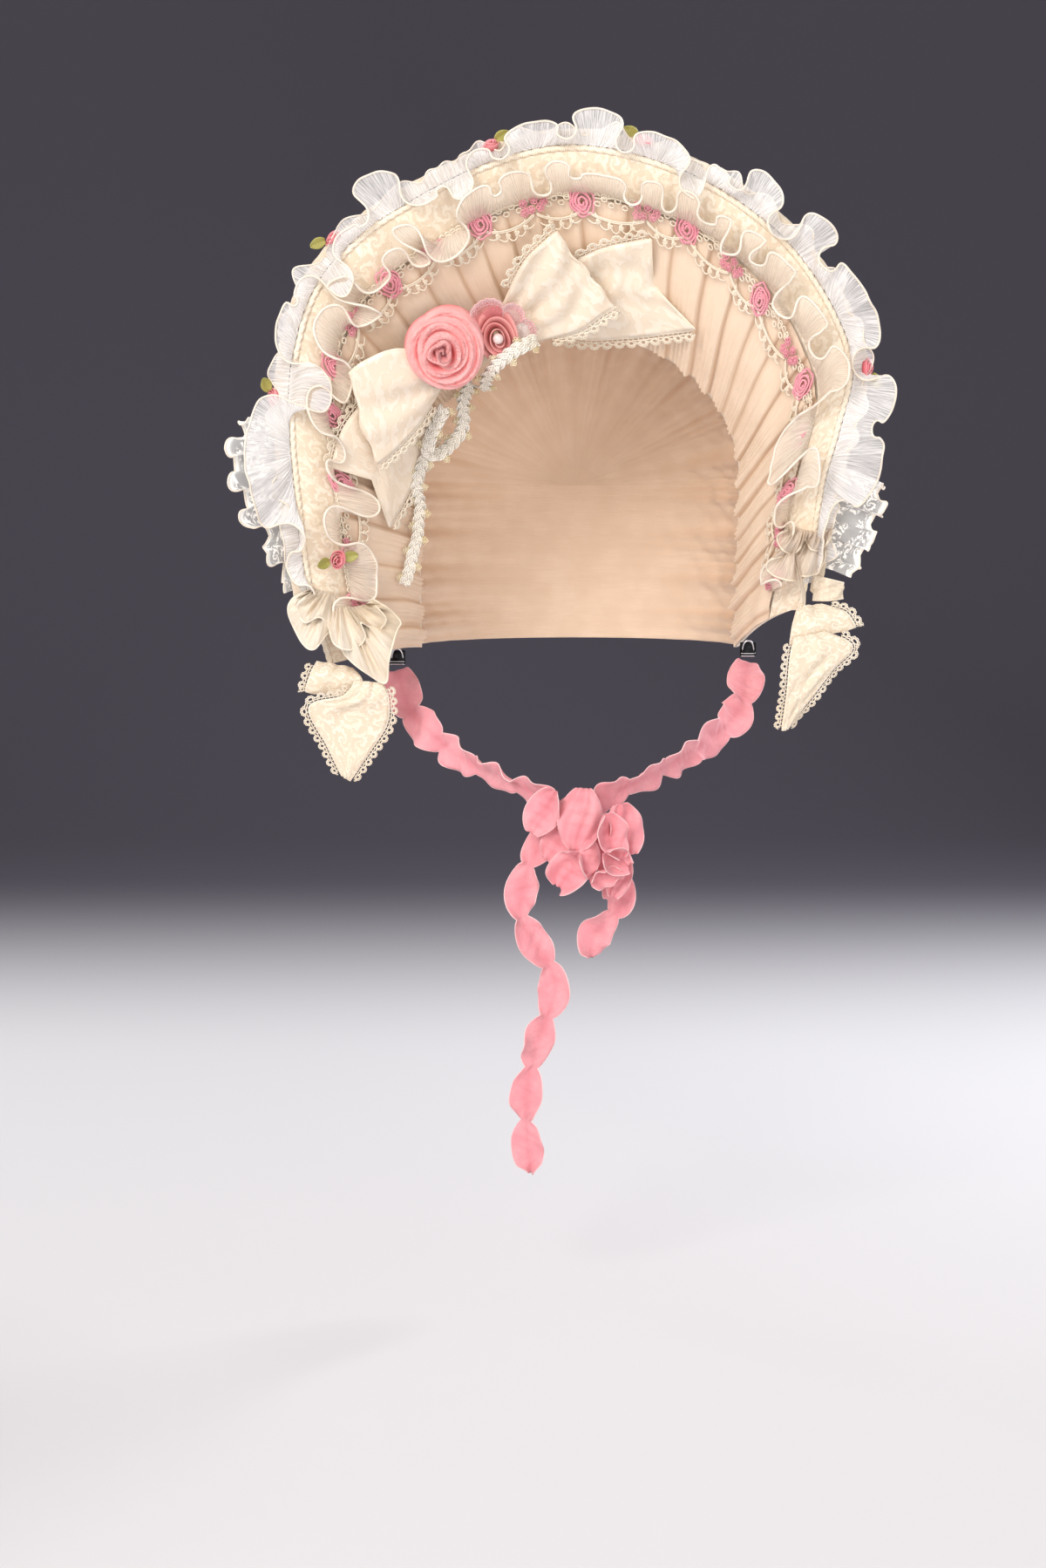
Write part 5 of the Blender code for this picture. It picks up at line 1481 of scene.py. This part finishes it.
tieTables = {
    "chin_tie_left": [(-96, 4, -173.9, 0), (-88, -10, -196, 8), (-64, -40, -216, 35), (-34, -66, -229, 55),
                      (-9.2, -81.7, -237.8, 35)],
    "chin_tie_right": [(94, 7, -169.4, 0), (87, -14, -196, -8), (64, -43, -213, -35), (34, -68, -227, -50),
                       (5.1, -82, -237.6, -35)],
    "tie_tail_long": [(-7, -85, -246.4, 0), (-24, -83, -266, 20), (-29, -80, -295, -25), (-12, -77, -330, 15),
                      (-20, -75, -362, -20), (-27, -73, -398, 25), (-24, -70, -434, 0)],
    "tie_tail_short": [(3, -85, -246.4, 0), (14, -84, -268, -15), (22, -81, -288, 20), (9, -79, -306, -10),
                       (7, -78, -318, 0)],
}
knotPetals = [  # x, z, how far forward, angle of its length, length, width, cup, turned sideways, turned up
    (-17, -240, 91, 118, 26, 19, 2.0, 25, 0), (23, -249, 90, 78, 27, 20, 2.5, -22, 0),
    (15, -252, 98, 74, 24, 17, 4.5, -28, 8), (3.2, -263, 101.5, -82, 21, 15, -3.5, 4, 6),
    (-2.6, -267.5, 97, -58, 23, 20, 5.5, 25, -12), (1, -243, 97, -84, 32, 23, -2.0, 0, 14),
    (16.5, -262, 99, 25, 18, 15, 5.0, -30, -15), (13, -270.5, 96, -22, 17, 12, 3.5, -20, -30),
    (21.5, -273.5, 89, -74, 23, 13, 1.5, 12, 0), (-9, -254, 90, -60, 26, 16, 2.0, 20, 0),
]
tieLook = {"petal": 27.0, "wide": 20.0, "tailWide": 17.0, "waist": 10.0, "tailWaist": 6.0, "edge": 0.28,
           "thickness": 0.45, "flutter": 1.7, "knot": (-2, -85, -240), "knotRadii": (9.0, 5.0, 7.0)}


def addTie(name, node, place, grid, pattern):
    def shadow(u, v):
        ripples = 0.5 * np.abs(np.sin(np.pi * 5 * u))
        return 0.62 + 0.38 * smooth(1.2 * np.abs(2 * v - 1) + ripples)

    cloth = layCloth(name, grid, place, "pinkCrepe", pattern, fold=shadow)
    area = thicken(cloth, tieLook["thickness"])
    for number in (0, 1):
        line = lineAt(place, max(grid[0] * 2, 80), number)
        edge = layCord(f"{name}Edge{number}", line, tieLook["edge"], "paleEdge", 5)
        finishPiece(edge, "pink_ribbon")
    finishPiece(cloth, "pink_ribbon", *([node] if node else []))


def makeTies():
    look = tieLook
    for number, (node, table) in enumerate(tieTables.items()):
        rows = np.array(table, float)
        route = makeRoute(rows[:, :3])
        last = len(rows) - 1
        petals = max(round(route["total"] / look["petal"]), 1)
        waist, wide, support = look["tailWaist"], look["tailWide"], "tie_knot"
        if "chin" in node:
            waist, wide, support = look["waist"], look["wide"], node.replace("chin_tie", "ribbon_clip")

        def place(u, v):
            point, ahead, behind = (alongRoute(route, route["total"] * np.clip(u + step, 0, 1))
                                    for step in (0, 0.02, -0.02))
            along = unit(ahead - behind)
            side = unit(np.cross(along, np.tile([0.0, -1.0, 0.0], (len(u), 1))))
            roll = np.radians(throughRows(rows[:, 3:4], u * last))
            side = side * np.cos(roll) + np.cross(along, side) * np.sin(roll)
            half = mix(waist, wide, np.abs(np.sin(np.pi * petals * u)) ** 0.7) * 0.5
            half = half * np.where(u > 0.97, mix(0.35, 1.0, smooth((1 - u) / 0.03)), 1.0)
            offset = 2 * v - 1
            flutter = drift(u + 0.17 * np.sign(offset), 140 + number, petals * 0.8, petals * 2.2)
            creases = 0.45 * np.sin(np.pi * (3.2 * v + 2.4 * drift(u, 145 + number, petals * 0.5, petals)))
            bend = 1.8 * np.sin(np.pi * v) + look["flutter"] * offset ** 2 * flutter
            bend = bend + creases * (1 - offset ** 2)
            return point + side * (half * offset)[:, None] + np.cross(along, side) * bend[:, None]

        pattern = (route["total"], look["wide"])
        addTie(camel(node), node, place, (petals * 22, 14), pattern)

    for number, (x, z, forward, angle, length, width, cup, sideways, up) in enumerate(knotPetals, 1):
        yaw, pitch, turn = (math.radians(value) for value in (sideways, up, angle))
        level = math.cos(pitch)
        normal = np.array([-math.sin(yaw) * level, -math.cos(yaw) * level, math.sin(pitch)])
        across = unit(np.cross(np.array([0.0, 0.0, 1.0]), -normal))
        direction = across * math.cos(turn) + np.cross(-normal, across) * math.sin(turn)
        side = np.cross(normal, direction)
        middle = np.array([x, -forward, z], float)

        def petal(u, v):
            half = width * 0.5 * np.sin(np.pi * mix(0.05, 0.95, u)) ** 0.6
            run, offset = 2 * u - 1, 2 * v - 1
            lift = 1.35 * cup * (offset ** 2 * (1 - 0.5 * run ** 2) + 0.7 * run ** 2)
            lift = lift + 1.8 * drift(u + 0.3 * offset, 150 + number, 0.8, 2.2) * offset ** 2
            return (middle + direction * (0.5 * length * run)[:, None] + side * (half * offset)[:, None]
                    + normal * (lift + 0.6 * drift(v + 0.4 * u, 170 + number, 1.2, 3.4))[:, None])

        node = f"tie_petal_{number}" if number < 6 else ""
        addTie(f"tiePetal{number}", node, petal, (32, 16), (length, width))

    def knot(u, v):        # a wrapped knot of crepe
        angle, height = 2 * np.pi * u, np.pi * (v - 0.5)
        ring = np.cos(height) * (1 + 0.10 * np.sin(3 * angle + 4 * height))
        local = np.stack([ring * np.cos(angle), ring * np.sin(angle),
                          np.sin(height) * (1 + 0.06 * np.cos(4 * angle))], -1)
        return np.array(look["knot"], float) + local * np.array(look["knotRadii"])

    # The "fold" mark paints shade in the grooves of the wrapped crepe.
    wrapped = layCloth("tieKnot", (64, 32), knot, "pinkCrepe", (50, 24), closed=True,
                       fold=lambda u, v: 0.4 + 0.6 * np.abs(np.sin(6 * np.pi * u + 5 * v)))
    finishPiece(wrapped, "pink_ribbon", "tie_knot")


makeTies()
print("ties ready")

# Ribbon clips: a black sprung clip with two bright lever arms


def makeSteel(name, dark, bright, low, high):
    tree, shader, spots = newMaterial(name)
    rub = noise(tree, spots["Object"], 420.0, 4.0, 0.7)
    plugAll(tree, shader, {"Base Color": blendColours(tree, ramp(tree, rub, 0.5, 0.8), dark, bright),
                           "Roughness": ramp(tree, rub, 0.3, 0.7, low, high), "Metallic": 0.9})


makeSteel("blackSteel", tone(28, 28, 30), tone(64, 64, 68), 0.22, 0.4)
makeSteel("brightSteel", tone(206, 206, 210), tone(236, 236, 240), 0.12, 0.28)


def makeClip(side):
    node = "ribbon_clip_" + side
    low, high = (np.array(corner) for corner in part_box(node))
    middle, size = (low + high) / 2, high - low
    deselectAll()
    bpy.ops.mesh.primitive_cube_add(size=1)
    body = bpy.context.object
    body.name = body.data.name = camel(node)
    spots = readPoints(body) * size * np.array([0.96, 0.7, 0.9])
    spots[:, 1] *= np.where(spots[:, 2] > 0, 0.45, 1.0)        # the jaws close towards the top
    writePoints(body, spots + middle)
    edges = body.modifiers.new("rounded", "BEVEL")
    edges.width, edges.segments = 0.7 * mm, 3
    bpy.ops.object.modifier_apply(modifier=edges.name)
    bpy.ops.object.shade_smooth_by_angle(angle=0.6)
    chooseMaterial(body, "blackSteel")
    finishPiece(body, "dark_steel", node)
    turn = np.linspace(0, np.pi, 15)
    meshes = []
    for front in (-1, 1):
        deep = np.full(15, front * 0.3 * size[1]) + front * 0.9 * mm * np.sin(turn)
        high = -0.2 * size[2] + 0.75 * size[2] * np.sin(turn) ** 0.7
        arm = np.stack([0.34 * size[0] * np.cos(turn), deep, high], -1)
        meshes.append(cordMesh((arm + middle) / mm, 0.42, 8))
    for height in (-0.42, -0.26):
        rail = np.stack([np.linspace(-0.46, 0.46, 12), np.full(12, -0.37), np.full(12, height)], -1) * size
        meshes.append(cordMesh((rail + middle) / mm, 0.3, 6))
    finishPiece(joinMeshes(body.name + "Arms", meshes, "brightSteel"), "dark_steel")


makeClip("left")
makeClip("right")


def makeBowKnot():
    spot = (-52, -6, 8.7)
    centre = overBrim(*spot)[0]
    basis = brimBasis(*spot[:2])

    def place(u, v):
        angle, height = 2 * np.pi * u, np.pi * (v - 0.5)
        ring = np.cos(height)
        local = np.stack([17 * np.sin(height), 9 * ring * np.cos(angle) * (1 + 0.06 * np.sin(5 * height)),
                          5.8 * ring * np.sin(angle)], -1)
        return centre + local @ basis.T

    knot = layCloth("bowKnot", (64, 40), place, "creamDamask", (44, 40), closed=True)
    finishPiece(knot, "cream_damask", "bow_knot")


makeBowKnot()

# Studio: pale floor, muted backdrop, soft light, and a camera at the photograph's angle

studioLook = {"floorZ": -0.50, "wallY": 2.6, "cove": 0.9, "floor": tone(206, 202, 202),
              "wall": tone(88, 83, 93)}


def makeStudio():
    look = studioLook
    deselectAll()
    bpy.ops.mesh.primitive_grid_add(x_subdivisions=2, y_subdivisions=60, size=1)
    sweep = bpy.context.object
    sweep.name = sweep.data.name = "studioSweep"
    flat = readPoints(sweep) + 0.5
    run, cove = flat[:, 1] * 9.0 - 3.5, look["cove"]
    start, quarter = look["wallY"] - cove, cove * math.pi / 2        # where the bend begins, and its arc
    bend = np.clip((run - start) / quarter, 0, 1) * math.pi / 2
    y = np.minimum(run, start) + cove * np.sin(bend)
    z = look["floorZ"] + cove * (1 - np.cos(bend)) + np.maximum(run - start - quarter, 0)
    writePoints(sweep, np.stack([(flat[:, 0] - 0.5) * 10, y, z], -1))
    bpy.ops.object.shade_smooth()
    tree, shader, spots = newMaterial("studioPaper")
    depth = splitXY(tree, spots["Object"])[1]
    colour = blendColours(tree, ramp(tree, depth, 0.5, 1.45), look["floor"], look["wall"])
    plugAll(tree, shader, {"Base Color": colour, "Roughness": 0.9})
    chooseMaterial(sweep, "studioPaper")
    lights = [  # name, place, aim, size, watts, colour
        ("keyLight", (-0.9, -1.7, 0.75), (0, 0, -0.12), 1.1, 33, (1.0, 0.975, 0.95)),
        ("fillLight", (0.7, -1.8, -0.15), (0, 0, -0.10), 1.6, 17, (1.0, 0.98, 0.97)),
        ("rimLight", (1.1, 0.75, 0.55), (0.05, 0, 0.0), 0.7, 26, (0.90, 0.94, 1.0)),
        ("leftRim", (-1.2, 0.6, 0.4), (-0.05, 0, 0.0), 0.7, 9, (0.94, 0.96, 1.0)),
    ]
    for name, spot, aim, size, watts, colour in lights:
        lamp = bpy.data.lights.new(name, "AREA")
        lamp.shape, lamp.size, lamp.energy, lamp.color = "DISK", size, watts, colour
        item = bpy.data.objects.new(name, lamp)
        item.location = spot
        item.rotation_euler = (Vector(aim) - Vector(spot)).to_track_quat("-Z", "Y").to_euler()
        bpy.context.scene.collection.objects.link(item)
    world = bpy.data.worlds.new("studioAir")
    world.use_nodes = True
    plugAll(world.node_tree, world.node_tree.nodes["Background"].inputs,
            {"Color": (0.86, 0.87, 0.9, 1), "Strength": 0.42})
    bpy.context.scene.world = world
    lens = bpy.data.cameras.new("studioCamera")
    lens.lens, lens.sensor_width, lens.clip_start = 60, 36, 0.05
    camera = bpy.data.objects.new("studioCamera", lens)
    camera.location = (-0.028, -1.41, -0.078)
    camera.rotation_euler = (math.radians(90 - 6.4), 0, 0)
    bpy.context.scene.collection.objects.link(camera)
    bpy.context.scene.camera = camera
    bpy.context.scene.view_settings.view_transform = "Standard"


makeStudio()
print("studio ready")
